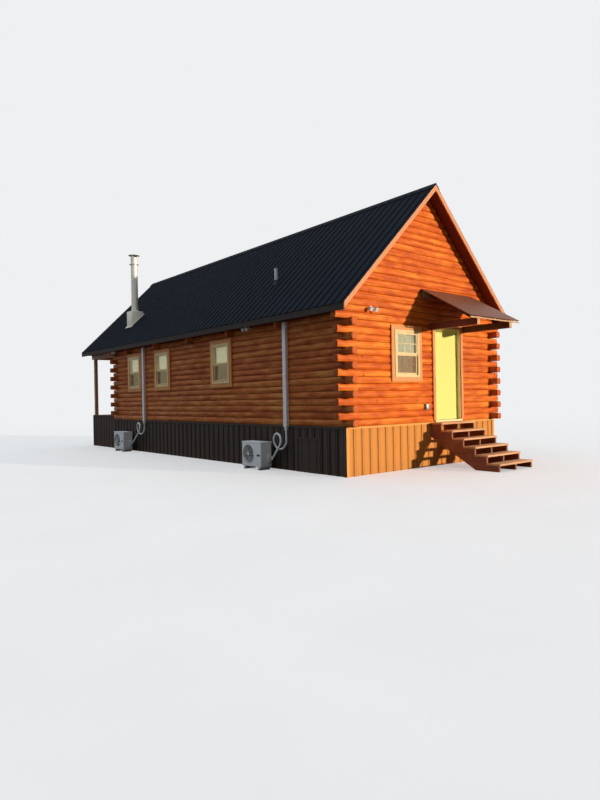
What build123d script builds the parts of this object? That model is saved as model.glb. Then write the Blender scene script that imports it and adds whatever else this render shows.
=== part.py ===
"""Log cabin on a metal-skirted foundation, with a porch under one end of its roof.

Frame: +Z up, X across the cabin, Y along it. The origin is the middle of the foot of the
door-end skirt, halfway through its thickness. The door end faces -Y and the porch is at +Y.
"""
import os
from math import atan2, ceil, cos, degrees, hypot, pi, radians, sin, sqrt, tan

from build123d import *

os.makedirs("parts", exist_ok=True)

# Log walls
cabin_width = 5040
house_length = 10920
porch_depth = 2080
course = 140
course_count = 16
log_thickness = 140
log_crown = 24
crown_flats = 4
corner_overhang = 190
top_log_overhang = 235
seat_gap = 0.4

# Foundation, skirt and floors
skirt_height = 965
skirt_inset = 10
skirt_thickness = 30
rib_pitch = 229
rib_width = 50
rib_height = 16
porch_skirt_rise = 126
rim_height = 235
rim_width = 130
floor_thickness = 35
deck_thickness = 25
pier_size = 200
piers_per_row = 6
trim_width = 75
trim_thickness = 4
flashing_height = 40
hatch_start = 775
hatch_width = 755
hatch_below_rim = 10

# Roof
roof_pitch = 44.6
eave_overhang = 288
gable_overhang = 290
porch_overhang = 245
roof_sheet = 6
roof_deck_thickness = 70
fascia_height = 134
fascia_setback = 15
board_thickness = 28
rafter_tail = 22
rafter_seat = 60
rafter_width = 45
house_rafter_count = 8
ridge_beam_width = 90
ridge_beam_depth = 300
ridge_cap_width = 170
ridge_cap_sheet = 3
soffit_thickness = 18
soffit_bearing = 40
tie_beam_count = 5
first_tie_beam = 1950
last_tie_beam = 1222
tie_beam_width = 90

# Porch frame
post_size = 100
post_inset = 10
porch_beam = 140

# Windows
window_first_course = 7
window_courses = 7
window_width = 776
first_side_window = 4396
rear_side_windows = (3377, 1511)
gable_window_centre = -728
casing_width = 96
casing_thickness = 28
frame_width = 45
frame_depth = 85
frame_proud = 40
sash_width = 42
sash_depth = 30
meeting_rail = 40
glass_thickness = 6

# Entry door
door_centre = 690
slab_width = 914
slab_thickness = 45
slab_recess = 85
door_gap = 7
stop_gap = 5
stop_width = 14
sill_height = 38
jamb_thickness = 24
head_thickness = 17.6
door_casing_width = 80
door_casing_reveal = 6
door_casing_thickness = 25
hinge_radius = 7
hinge_length = 100
hinge_count = 3
knob_height = 950
knob_backset = 70
knob_radius = 27
knob_length = 36
neck_radius = 11
neck_length = 20
rose_radius = 33
rose_thickness = 8
turned_sides = 8

# Canopy over the door
canopy_width = 1820
canopy_depth = 1240
canopy_rise = 705
canopy_eave_lift = 32
canopy_sheet = 24
canopy_rib_pitch = 150
canopy_rib_height = 12
outrigger_spacing = 1194
outrigger_width = 90
outrigger_height = 140
outrigger_drop = 80
canopy_rafter_depth = 90
canopy_fascia_height = 48
canopy_fascia_thickness = 20
ledger_height = 140
ledger_thickness = 38

# Stairs
tread_count = 6
stair_width = 1240
first_tread_depth = 276
tread_run = 278
tread_nosing = 25
tread_thickness = 40
top_tread_drop = 10
stringer_thickness = 45
stringer_depth = 230

# Outdoor units, their lines and ducts
unit_width = 720
unit_depth = 290
unit_height = 535
unit_stand = 70
unit_foot = 60
unit_edge = 12
motor_sides = 12
pocket_sides = 12
unit_wall_gap = 150
loop_to_unit = (42, 280)
fan_diameter = 390
fan_depth = 70
fan_offset = 470
fan_clearance = 12
hub_diameter = 110
hub_sides = 12
hub_boss = 2
boss_diameter = 30
blade_count = 3
blade_thickness = 6
blade_angle = 28
root_share = 0.5
motor_diameter = 90
shaft_diameter = 20
shaft_length = 6
pocket_depth = 200
guard_ring = 7
guard_rings = 3
guard_sides = 10
duct_width = 110
duct_depth = 68
near_duct = 1808
far_duct = 2195
duct_drop = 35
line_diameter = 44
loop_size = 340
loop_drop = (480, 380)
bend_size = 100
line_sides = 8
line_entry_height = 190
line_inset = 60

# Lights, outlet, chimney and vent
near_soffit_light = 3070
far_soffit_light = 300
light_out = 140
gable_light_across = -1800
gable_light_rise = 95
lamp_radius = 45
lamp_back_radius = 27
lamp_length = 100
lamp_back = 20
lamp_spread = 150
lamp_tilt = 115
lamp_turn = 20
lamp_sides = 8
light_arm = 24
light_base_radius = 55
light_base_depth = 40
outlet_across = -95
outlet_rise = 346
outlet_size = 116
outlet_depth = 45
chimney_from_wall = 650
chimney_from_end = 160
chimney_box = 400
chimney_box_rise = 324
chimney_diameter = 219
chimney_over_ridge = 360
chimney_cap_diameter = 370
chimney_cap_height = 20
chimney_shield_drop = 300
chimney_shield_diameter = 309
chimney_collar_diameter = 299
chimney_collar_height = 40
chimney_sides = 12
vent_from_wall = 702
vent_along = 3019
vent_sides = 10
vent_diameter = 84
vent_rise = 350
boot_diameter = 170
boot_height = 90
boot_lip = 4

# Values that follow from the driving dimensions
half_width = cabin_width / 2
front = -(skirt_inset + skirt_thickness / 2)
house_end = front + house_length
porch_end = house_end + porch_depth
wall_top = skirt_height + course * course_count
slope = tan(radians(roof_pitch))
upright = 1 / cos(radians(roof_pitch))
side_window_centres = (first_side_window,) + tuple(house_length - reach for reach in rear_side_windows)
duct_centres = (near_duct, house_length - far_duct)
duct_foot = skirt_height - duct_drop
top_tread_height = skirt_height - top_tread_drop
outrigger_top = wall_top - outrigger_drop
canopy_eave_height = outrigger_top + canopy_eave_lift
canopy_wall_height = canopy_eave_height + canopy_rise
floor_top = skirt_height + floor_thickness
rim_low = skirt_height - rim_height
hatch_height = rim_low - hatch_below_rim
porch_skirt_top = skirt_height + porch_skirt_rise
opening_low = skirt_height + window_first_course * course
opening_high = opening_low + window_courses * course
skirt_face = half_width - skirt_inset
skirt_back = skirt_face - skirt_thickness
stub_end = house_end + corner_overhang + 2 * seat_gap
roof_front = front - gable_overhang
roof_back = porch_end + porch_overhang
roof_run = half_width + eave_overhang
deck_drop = roof_sheet + seat_gap
deck_under = deck_drop + roof_deck_thickness
fascia_outer = roof_run - fascia_setback
fascia_inner = fascia_outer - board_thickness
soffit_top = wall_top + soffit_thickness + seat_gap
ridge_height = soffit_top + seat_gap + rafter_tail + deck_under * upright + fascia_inner * slope
fascia_foot = ridge_height - roof_run * slope - fascia_height
clear_low = door_centre - slab_width / 2 - door_gap
clear_high = door_centre + slab_width / 2 + door_gap
door_hole = (clear_low - jamb_thickness - seat_gap, clear_high + jamb_thickness + seat_gap)
door_head = wall_top - course
slab_bottom = skirt_height + sill_height + stop_gap
clear_top = door_head - seat_gap - head_thickness
slab_top = clear_top - door_gap
slab_outer = front + slab_recess
slab_inner = slab_outer + slab_thickness
gable_window = (gable_window_centre - window_width / 2, gable_window_centre + window_width / 2)


def block(x0, x1, y0, y1, z0, z1):
    """A plain rectangular timber, board or slab between two corners."""
    return Pos((x0 + x1) / 2, (y0 + y1) / 2, (z0 + z1) / 2) * Box(abs(x1 - x0), abs(y1 - y0), abs(z1 - z0))


def across_shape(points, y0, y1):
    """A solid with a constant section in X and Z, from y0 to y1."""
    plane = Plane(origin=(0, y0, 0), x_dir=(1, 0, 0), z_dir=(0, -1, 0))
    section = plane * make_face(Polyline(*points, close=True))
    return extrude(section, amount=y1 - y0, dir=(0, 1, 0))


def along_shape(points, x0, x1):
    """A solid with a constant section in Y and Z, from x0 to x1."""
    plane = Plane(origin=(x0, 0, 0), x_dir=(0, 1, 0), z_dir=(1, 0, 0))
    section = plane * make_face(Polyline(*points, close=True))
    return extrude(section, amount=x1 - x0, dir=(1, 0, 0))


def write(name, items):
    """One STEP file for one sub-part, which may be several separate solids."""
    solids = [solid for item in items for solid in item.solids()]
    shape = solids[0] if len(solids) == 1 else Compound(solids)
    shape.label = name
    export_step(shape, f"parts/{name}.step")


def roof_height(across, drop=0.0):
    """Height at a distance across from the ridge, a drop below the roof face measured square to it."""
    return ridge_height - abs(across) * slope - drop * upright


def mirrored(items):
    """The same pieces on the other long side."""
    return [mirror(item, about=Plane.YZ) for item in items]


def turned(items):
    """The same pieces half a turn round, so that the door end's become the porch end's."""
    return [Pos(0, front + house_end, 0) * Rot(0, 0, 180) * item for item in items]


def spans(low, high, gaps):
    """What is left of low..high once the gaps are taken out."""
    pieces = []
    start = low
    for gap_low, gap_high in gaps:
        pieces.append((start, gap_low - seat_gap))
        start = gap_high + seat_gap
    pieces.append((start, high))
    return pieces


# Logs


def log_section():
    """Section of a log: flat beds and back, and a weather face crowned in flats. Local x points outwards."""
    low = seat_gap / 2
    high = course - seat_gap / 2
    crown = ThreePointArc((-log_crown, low), (0, course / 2), (-log_crown, high))
    face = [crown @ (k / crown_flats) for k in range(crown_flats + 1)]
    return make_face(Polyline(*face, (-log_thickness, high), (-log_thickness, low), close=True))


def end_log(x0, x1, z0):
    """A log of the door-end wall, crowned towards -Y."""
    plane = Plane(origin=(x0, front, z0), x_dir=(0, -1, 0), z_dir=(-1, 0, 0))
    return extrude(plane * log_section(), amount=x1 - x0, dir=(1, 0, 0))


def side_log(y0, y1, z0):
    """A log of the left wall, crowned towards -X."""
    plane = Plane(origin=(-half_width, y0, z0), x_dir=(-1, 0, 0), z_dir=(0, 1, 0))
    return extrude(plane * log_section(), amount=y1 - y0, dir=(0, 1, 0))


def has_window(index):
    return window_first_course <= index < window_first_course + window_courses


def evenly(low, high, count):
    """A number of places at an even pitch, the first and the last included."""
    return [low + (high - low) * k / (count - 1) for k in range(count)]


def prism(radius, length, sides, top_radius=None):
    """A round piece drawn with a few flats, standing on z = 0, straight or tapered."""
    if top_radius is None:
        return extrude(RegularPolygon(radius, sides), amount=length)
    if top_radius > radius:
        return Pos(0, 0, length) * Rot(180, 0, 0) * prism(top_radius, length, sides, radius)
    slant = atan2((radius - top_radius) * cos(pi / sides), length)
    return extrude(RegularPolygon(radius, sides), amount=length, taper=degrees(slant))


def tie_beam_places():
    return evenly(front + first_tie_beam, house_end - last_tie_beam, tie_beam_count)


def left_wall():
    """Long wall: every other log runs past the corners, the ones between butt against the end walls."""
    windows = [(front + c - window_width / 2, front + c + window_width / 2) for c in side_window_centres]
    beams = [(y - tie_beam_width / 2, y + tie_beam_width / 2) for y in tie_beam_places()]
    logs = []
    for index in range(course_count):
        reach = corner_overhang if index % 2 == 0 else -(log_thickness + seat_gap)
        gaps = windows if has_window(index) else []
        if index == course_count - 1:
            gaps = beams
        logs += [side_log(y0, y1, skirt_height + index * course)
                 for y0, y1 in spans(front - reach, house_end + reach, gaps)]
    return logs


def end_wall():
    """Door-end wall: the logs left of the doorway, those right of it, and the one over it."""
    left, right = [], []
    for index in range(course_count - 1):
        z0 = skirt_height + index * course
        reach = corner_overhang if index % 2 == 1 else -(log_thickness + seat_gap)
        gaps = [gable_window] if has_window(index) else []
        left += [end_log(x0, x1, z0) for x0, x1 in spans(-half_width - reach, door_hole[0], gaps)]
        right.append(end_log(door_hole[1], half_width + reach, z0))
    reach = half_width + top_log_overhang
    return left, right, [end_log(-reach, reach, wall_top - course)]


def gable():
    """Log courses of the triangle over an end wall, cut to the underside of the roof deck."""
    drop = deck_under + seat_gap
    outline = [
        (-half_width, wall_top), (-half_width, roof_height(half_width, drop)), (0, roof_height(0, drop)),
        (half_width, roof_height(half_width, drop)), (half_width, wall_top),
    ]
    triangle = across_shape(outline, front, front + log_thickness)
    rows = ceil((roof_height(0, drop) - wall_top) / course)
    return [end_log(-half_width, half_width, wall_top + row * course) & triangle for row in range(rows)]


# Foundation, skirt and floors


def ribbed_outline(length, first_rib, base, pitch, width, height):
    """Outline of a ribbed sheet: local x along it, local y outwards, the ribs at an even pitch."""
    points = [(0, -base), (0, 0)]
    centre = first_rib if first_rib > width / 2 else first_rib + pitch
    while centre + width / 2 < length:
        points += [
            (centre - width / 2, 0), (centre - width / 4, height),
            (centre + width / 4, height), (centre + width / 2, 0),
        ]
        centre += pitch
    points += [(length, 0), (length, -base)]
    return make_face(Polyline(*points, close=True))


def skirt_panel(length, height):
    """A ribbed skirt panel standing on the ground, its outer face towards -Y, from x = 0."""
    outline = ribbed_outline(length, length / 2 % rib_pitch, skirt_thickness - rib_height,
                             rib_pitch, rib_width, rib_height)
    plane = Plane(origin=(0, rib_height, 0), x_dir=(1, 0, 0), z_dir=(0, 0, -1))
    return extrude(plane * outline, amount=height, dir=(0, 0, 1))


def left_panel(y0, y1, height):
    """A skirt panel of the left side, between two places along the cabin."""
    return Pos(-skirt_face, y1, 0) * Rot(0, 0, -90) * skirt_panel(y1 - y0, height)


def skirts():
    start = front + skirt_inset
    panel = left_panel(start, stub_end, skirt_height)
    hatch_y = front + hatch_start
    hole = block(-half_width, -skirt_back + 1, hatch_y, hatch_y + hatch_width, -1, hatch_height)
    left = panel - hole
    right = mirrored([panel])
    end = Pos(-skirt_back + seat_gap, start, 0) * skirt_panel(2 * (skirt_back - seat_gap), skirt_height)
    porch_left = left_panel(stub_end + seat_gap, porch_end - skirt_inset, porch_skirt_top)
    porch_back = skirt_panel(2 * (skirt_back - seat_gap), porch_skirt_top)
    porch_back = Pos(skirt_back - seat_gap, porch_end - skirt_inset, 0) * Rot(0, 0, 180) * porch_back
    return [left], right, [end], [porch_left, porch_back] + mirrored([porch_left])


def access_hatch():
    """The panel that closes the crawl-space opening: a ribbed sheet in a flat frame."""
    y0 = front + hatch_start + seat_gap
    y1 = y0 + hatch_width - 2 * seat_gap
    sheet = left_panel(y0, y1, hatch_height - seat_gap)
    face = -skirt_face - seat_gap
    frame = block(face - trim_thickness, face, y0, y1, 0, hatch_height - seat_gap)
    hole = block(face - 2 * trim_thickness, face + 1, y0 + flashing_height, y1 - flashing_height,
                 flashing_height, hatch_height - flashing_height)
    return [sheet, frame - hole]


def skirt_trim():
    """Angles over the skirt's corners and the flashing along its top edge."""
    face = skirt_face + seat_gap
    low_front = front + skirt_inset - seat_gap
    high_back = porch_end - skirt_inset + seat_gap
    top = skirt_height - seat_gap
    trims = []
    for y_face, outward, height in ((low_front, -1, skirt_height), (high_back, 1, porch_skirt_top)):
        leg_end = y_face - outward * trim_width
        side = block(-face - trim_thickness, -face, y_face + outward * trim_thickness, leg_end,
                     0, height - flashing_height - seat_gap)
        across = block(-face, -face + trim_width, y_face, y_face + outward * trim_thickness,
                       0, height - flashing_height - seat_gap)
        trims.append(side + across)
    trims.append(block(-face - trim_thickness, -face, low_front - trim_thickness, stub_end,
                       top - flashing_height, top))
    porch_top = porch_skirt_top
    trims.append(block(-face - trim_thickness, -face, stub_end + seat_gap, high_back + trim_thickness,
                       porch_top - flashing_height, porch_top))
    middle = [
        block(-face + seat_gap, face - seat_gap, low_front - trim_thickness, low_front,
              top - flashing_height, top),
        block(-face + seat_gap, face - seat_gap, high_back, high_back + trim_thickness,
              porch_top - flashing_height, porch_top),
    ]
    return trims + mirrored(trims) + middle


rim_outer = skirt_back - seat_gap
rim_inner = rim_outer - rim_width
frame_start = front + skirt_inset + skirt_thickness + seat_gap
frame_end = porch_end - skirt_inset - skirt_thickness - seat_gap


def floor_frame():
    """Rim beams and middle girder of the house, and the porch's own rims."""
    inner = rim_inner - seat_gap
    side = block(-rim_outer, -rim_inner, frame_start, house_end, rim_low, skirt_height)
    ends = [block(-inner, inner, y, y + rim_width, rim_low, skirt_height)
            for y in (frame_start, house_end - rim_width)]
    girder = block(-rim_width / 2, rim_width / 2, frame_start + rim_width + seat_gap,
                   house_end - rim_width - seat_gap, rim_low, skirt_height)
    top = skirt_height - deck_thickness - seat_gap
    porch_side = block(-rim_outer, -rim_inner, house_end + seat_gap, frame_end, rim_low, top)
    porch_ends = [block(-inner, inner, y, y + rim_width, rim_low, top)
                  for y in (house_end + seat_gap, frame_end - rim_width)]
    return [side, girder, porch_side] + ends + porch_ends + mirrored([side, porch_side])


def foundation_piers():
    """Blocks under the rims and the girder, and under the porch's far corners."""
    places = evenly(front + pier_size, house_end - pier_size, piers_per_row) + [frame_end - pier_size]
    middle = (rim_outer + rim_inner) / 2
    height = rim_low - seat_gap
    return [Pos(x, y, height / 2) * Box(pier_size / 2, pier_size, height)
            for x in (-middle, 0, middle) for y in places]


def floor_boards():
    inner = half_width - log_thickness - seat_gap
    return [block(-inner, inner, front + log_thickness + seat_gap, house_end - log_thickness - seat_gap,
                  skirt_height + seat_gap, floor_top)]


def porch_deck():
    return [block(-rim_outer, rim_outer, house_end + seat_gap, frame_end,
                  skirt_height - deck_thickness, skirt_height)]


def porch_kerb():
    """Beams on the edge of the deck that the posts stand on."""
    low = skirt_height + seat_gap
    high = porch_skirt_top - seat_gap
    side = block(-rim_outer, -rim_inner, stub_end, frame_end, low, high)
    back = block(-rim_inner + seat_gap, rim_inner - seat_gap, frame_end - rim_width, frame_end, low, high)
    return [side, back] + mirrored([side])


# Roof


def roof_sheet_right():
    length = roof_back - roof_front
    outline = ribbed_outline(length, rib_pitch / 2, roof_sheet, rib_pitch, rib_width, rib_height)
    down = Vector(cos(radians(roof_pitch)), 0, -sin(radians(roof_pitch)))
    start = 2 * roof_sheet
    plane = Plane(origin=(start, roof_front, roof_height(start)), x_dir=(0, 1, 0), z_dir=down)
    return extrude(plane * outline, amount=(roof_run - start) * upright, dir=down)


def slope_band(x0, x1, top_drop, low_drop, y0, y1):
    """A slab parallel to the right-hand slope with plumb ends, between two drops below the roof face."""
    points = [
        (x0, roof_height(x0, top_drop)), (x1, roof_height(x1, top_drop)),
        (x1, roof_height(x1, low_drop)), (x0, roof_height(x0, low_drop)),
    ]
    return across_shape(points, y0, y1)


def roof_deck():
    right = slope_band(seat_gap / 2, fascia_inner - seat_gap, deck_drop, deck_under,
                       roof_front + board_thickness + seat_gap, roof_back - board_thickness - seat_gap)
    return [right] + mirrored([right])


def ridge_cap():
    low = -(rib_height + seat_gap)
    high = low - ridge_cap_sheet
    w = ridge_cap_width / upright
    points = [
        (-w, roof_height(w, high)), (0, roof_height(0, high)), (w, roof_height(w, high)),
        (w, roof_height(w, low)), (0, roof_height(0, low)), (-w, roof_height(w, low)),
    ]
    return [across_shape(points, roof_front, roof_back)]


def rake_boards():
    low = fascia_height / upright
    boards = [slope_band(seat_gap / 2, fascia_outer, deck_drop, low, y, y + board_thickness)
              for y in (roof_front, roof_back - board_thickness)]
    return boards + mirrored(boards)


def eave_fascia():
    points = [
        (fascia_outer, fascia_foot), (fascia_outer, roof_height(fascia_outer, deck_drop)),
        (fascia_inner, roof_height(fascia_inner, deck_drop)), (fascia_inner, fascia_foot),
    ]
    right = across_shape(points, roof_front + board_thickness + seat_gap,
                         roof_back - board_thickness - seat_gap)
    return [right] + mirrored([right])


def eave_soffits():
    """Level boards that box in the eaves, and the small boards that close their ends at the gables."""
    low = wall_top + seat_gap
    high = soffit_top
    outer = fascia_inner - seat_gap
    drop = deck_under + seat_gap
    x0 = half_width + seat_gap
    x1 = half_width - soffit_bearing
    points = [(x0, low), (x0, roof_height(x0, drop)), (outer, roof_height(outer, drop)), (outer, low)]
    in_front = front + log_thickness
    behind = house_end - log_thickness
    right = [
        across_shape(points, front, front + board_thickness),
        block(x0, outer, front + board_thickness + seat_gap, in_front, low, high),
        block(x1, outer, in_front + seat_gap, behind - seat_gap, low, high),
        block(x0, outer, behind, house_end, low, high),
        block(x1, outer, house_end + seat_gap, porch_end, low, high),
        across_shape(points, porch_end + seat_gap, porch_end + board_thickness),
    ]
    return right + mirrored(right)


def rafter(y):
    """One rafter: seated on the wall, its tail cut plumb and level behind the fascia."""
    drop = deck_under + seat_gap
    x0 = ridge_beam_width / 2 + seat_gap
    seat = wall_top + seat_gap
    bearing = half_width - soffit_bearing - seat_gap
    heel = bearing - rafter_seat
    tail = fascia_inner - seat_gap
    foot = soffit_top + seat_gap
    points = [
        (x0, roof_height(x0, drop)), (tail, roof_height(tail, drop)), (tail, foot), (bearing, foot),
        (bearing, seat), (heel, seat), (x0, seat + (heel - x0) * slope),
    ]
    return across_shape(points, y - rafter_width / 2, y + rafter_width / 2)


def roof_frame():
    """Ridge beam and rafter pairs."""
    inner_start = front + log_thickness + seat_gap
    inner_end = house_end - log_thickness - seat_gap
    places = evenly(inner_start + rafter_width, inner_end - rafter_width, house_rafter_count)
    places += [house_end + rafter_width, (house_end + porch_end) / 2, porch_end - rafter_width / 2]
    right = [rafter(y) for y in places]
    top = roof_height(ridge_beam_width / 2, deck_under + seat_gap)
    low = top - ridge_beam_depth
    beams = [block(-ridge_beam_width / 2, ridge_beam_width / 2, y0, y1, low, top)
             for y0, y1 in ((inner_start, inner_end),
                            (house_end + seat_gap, roof_back - board_thickness - seat_gap))]
    return beams + right + mirrored(right)


def tie_beams():
    reach = half_width + corner_overhang
    return [block(-reach, reach, y - tie_beam_width / 2, y + tie_beam_width / 2,
                  wall_top - course + seat_gap, wall_top - seat_gap) for y in tie_beam_places()]


def porch_frame():
    """Corner posts, the beams on them, and the king post that holds the ridge beam."""
    low = wall_top - porch_beam
    side = block(-half_width, -half_width + porch_beam, house_end + seat_gap, porch_end, low, wall_top)
    cross = block(-half_width + porch_beam + seat_gap, half_width - porch_beam - seat_gap,
                  porch_end - porch_beam, porch_end, low, wall_top)
    x = -half_width + skirt_inset + skirt_thickness + post_inset
    y = porch_end - skirt_inset - skirt_thickness - post_inset
    post = block(x, x + post_size, y - post_size, y, porch_skirt_top, low - seat_gap)
    king_top = roof_height(ridge_beam_width / 2, deck_under + seat_gap) - ridge_beam_depth - seat_gap
    king = block(-post_size / 2, post_size / 2, y - post_size, y, wall_top + seat_gap, king_top)
    return [side, post, cross, king] + mirrored([side, post])


# Windows


def ring(width, z0, z1, border, y0, y1):
    """A rectangular ring in the wall's plane, centred on x = 0."""
    outer = block(-width / 2, width / 2, y0, y1, z0, z1)
    hole = block(-width / 2 + border, width / 2 - border, y0 - 1, y1 + 1, z0 + border, z1 - border)
    return outer - hole


def window():
    """Double-hung window and its casing. The wall face is y = 0, outdoors is -Y, centred on x = 0."""
    low = opening_low + seat_gap
    high = opening_high - seat_gap
    w = window_width - 2 * seat_gap
    frame = ring(w, low, high, frame_width, -frame_proud, frame_depth - frame_proud)
    sash_w = w - 2 * frame_width - 2 * seat_gap
    sash_low = low + frame_width + seat_gap
    sash_high = high - frame_width - seat_gap
    middle = (sash_low + sash_high) / 2
    y_upper = (frame_depth - 2 * sash_depth) / 2 - frame_proud - seat_gap
    y_lower = y_upper + sash_depth + seat_gap
    upper = ring(sash_w, middle - meeting_rail / 2, sash_high, sash_width, y_upper, y_upper + sash_depth)
    lower = ring(sash_w, sash_low, middle + meeting_rail / 2, sash_width, y_lower, y_lower + sash_depth)
    glass = []
    pane_w = sash_w - 2 * sash_width - 2 * seat_gap
    for z0, z1, y in ((middle - meeting_rail / 2, sash_high, y_upper),
                      (sash_low, middle + meeting_rail / 2, y_lower)):
        y_mid = y + sash_depth / 2
        glass.append(block(-pane_w / 2, pane_w / 2, y_mid - glass_thickness / 2, y_mid + glass_thickness / 2,
                           z0 + sash_width + seat_gap, z1 - sash_width - seat_gap))
    edge = window_width / 2
    y0 = -seat_gap - casing_thickness
    z0 = opening_low
    z1 = opening_high
    casing = [
        block(-edge - casing_width, -edge, y0, -seat_gap, z0, z1),
        block(edge, edge + casing_width, y0, -seat_gap, z0, z1),
        block(-edge - casing_width, edge + casing_width, y0, -seat_gap, z1 + seat_gap, z1 + casing_width),
        block(-edge - casing_width, edge + casing_width, y0, -seat_gap, z0 - casing_width, z0 - seat_gap),
    ]
    return [frame, upper, lower], glass, casing


def windows():
    frames, glass, casings = [], [], []
    for along in side_window_centres:
        place = Pos(-half_width, front + along, 0) * Rot(0, 0, -90)
        f, g, c = window()
        f, g, c = ([place * piece for piece in group] for group in (f, g, c))
        frames += f + mirrored(f)
        glass += g + mirrored(g)
        casings += c + mirrored(c)
    place = Pos(gable_window_centre, front, 0)
    f, g, c = window()
    f, g, c = ([place * piece for piece in group] for group in (f, g, c))
    return frames + f + turned(f), glass + g + turned(g), casings + c + turned(c)


# Door


def door_frame():
    """Jambs, head, sill and the stops that the door closes against."""
    base = skirt_height + seat_gap
    sill_top = skirt_height + sill_height
    jamb_low = sill_top + seat_gap
    jamb_high = door_head - seat_gap
    low = clear_low + seat_gap
    high = clear_high - seat_gap
    left = block(clear_low - jamb_thickness, clear_low, front, slab_inner, jamb_low, jamb_high)
    right = block(clear_high, clear_high + jamb_thickness, front, slab_inner, jamb_low, jamb_high)
    head = block(low, high, front, slab_inner, clear_top, jamb_high)
    sill = block(clear_low - jamb_thickness, clear_high + jamb_thickness, front - door_casing_thickness,
                 front + log_thickness, base, sill_top)
    stop_back = slab_outer - stop_gap
    stop_top = clear_top - seat_gap
    stops = [
        block(low, clear_low + stop_width, front, stop_back, jamb_low, stop_top),
        block(clear_high - stop_width, high, front, stop_back, jamb_low, stop_top),
        block(low + stop_width, high - stop_width, front, stop_back, clear_top - stop_width, stop_top),
    ]
    return [left, right, head, sill] + stops


def door_casing():
    y0 = front - seat_gap - door_casing_thickness
    y1 = front - seat_gap
    low = skirt_height + sill_height + seat_gap
    top = clear_top + door_casing_reveal
    inner_low = clear_low - door_casing_reveal
    inner_high = clear_high + door_casing_reveal
    return [
        block(inner_low - door_casing_width, inner_low, y0, y1, low, top),
        block(inner_high, inner_high + door_casing_width, y0, y1, low, top),
        block(inner_low - door_casing_width, inner_high + door_casing_width, y0, y1,
              top + seat_gap, top + door_casing_width),
    ]


hinge_across = clear_high - door_gap / 2
hinge_along = slab_inner + sqrt((hinge_radius + seat_gap) ** 2 - (door_gap / 2) ** 2)


def door_hinges(barrel):
    """Three barrels on the room side, on the line that the door turns about."""
    places = evenly(slab_bottom + 2 * hinge_length, slab_top - 2 * hinge_length, hinge_count)
    return [Pos(hinge_across, hinge_along, z) * barrel for z in places]


def door_slab():
    low = door_centre - slab_width / 2
    return block(low, low + slab_width, slab_outer, slab_inner, slab_bottom, slab_top)


def door_knobs():
    """A rose, neck and knob on each face of the door."""
    half = knob_length / 2
    head = prism(neck_radius, half, turned_sides, knob_radius)
    head += Pos(0, 0, half) * prism(knob_radius, half, turned_sides, neck_radius)
    knob = prism(rose_radius, rose_thickness, turned_sides)
    knob += Pos(0, 0, rose_thickness) * prism(neck_radius, neck_length, turned_sides)
    knob += Pos(0, 0, rose_thickness + neck_length) * head
    knob = Rot(90, 0, 0) * knob
    x = door_centre - slab_width / 2 + knob_backset
    z = slab_bottom + knob_height
    inside = Pos(x, slab_inner + seat_gap, z) * Rot(0, 0, 180) * knob
    outside = Pos(x, slab_outer - seat_gap, z) * knob
    return [inside, outside]


# Canopy


def canopy():
    x0 = door_centre - canopy_width / 2
    fall = canopy_rise / canopy_depth
    run = hypot(canopy_depth, canopy_rise)
    down = Vector(0, -canopy_depth, -canopy_rise).normalized()
    lift = canopy_rib_height * run / canopy_depth
    outline = ribbed_outline(canopy_width, canopy_rib_pitch / 2, canopy_sheet - canopy_rib_height,
                             canopy_rib_pitch, rib_width, canopy_rib_height)
    plane = Plane(origin=(x0, front, canopy_wall_height - lift), x_dir=(1, 0, 0), z_dir=-down)
    wall_cut = block(x0 - 1, x0 + canopy_width + 1, front - seat_gap, front + canopy_depth, 0, ridge_height)
    sheet = extrude(plane * outline, amount=run, dir=down) - wall_cut

    def under(y):
        """Underside of the sheet at a distance out from the wall."""
        return canopy_wall_height - canopy_sheet * run / canopy_depth - fall * y - 2 * seat_gap

    fascia_y = front - canopy_depth
    fascia = block(x0, x0 + canopy_width, fascia_y + 1, fascia_y + 1 + canopy_fascia_thickness,
                   outrigger_top - canopy_fascia_height / 2, under(canopy_depth) + 2 * seat_gap - 1)
    end = canopy_depth - canopy_fascia_thickness - 1 - seat_gap
    start = ledger_thickness + 2 * seat_gap
    deep = canopy_rafter_depth * run / canopy_depth
    seat = outrigger_top + seat_gap
    heel = (under(0) - deep - seat) / fall
    points = [
        (front - start, under(start)), (front - end, under(end)), (front - end, seat),
        (front - heel, seat), (front - start, under(start) - deep),
    ]
    frame = [fascia]
    for x in (door_centre - outrigger_spacing / 2, door_centre, door_centre + outrigger_spacing / 2):
        left = x - outrigger_width / 2
        right = x + outrigger_width / 2
        frame.append(along_shape(points, left, right))
        if x != door_centre:
            frame.append(block(left, right, front - end, front - seat_gap,
                               outrigger_top - outrigger_height, outrigger_top))
    ledger_top = under(start)
    frame.append(block(x0, x0 + canopy_width, front - seat_gap - ledger_thickness, front - seat_gap,
                       ledger_top - ledger_height, ledger_top))
    return [sheet], frame


# Stairs


def tread_rise():
    return top_tread_height / tread_count


def nose(k):
    """Front edge of a tread, counted down from the top one."""
    return front - first_tread_depth - tread_run * k


def stair_treads():
    x0 = door_centre - stair_width / 2
    back = front + skirt_inset - 2 * seat_gap - trim_thickness
    treads = []
    for k in range(tread_count):
        z = top_tread_height - tread_rise() * k
        y_back = back if k == 0 else nose(k - 1) + tread_nosing
        treads.append(block(x0, x0 + stair_width, nose(k), y_back - seat_gap, z - tread_thickness, z))
    return treads


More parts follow.
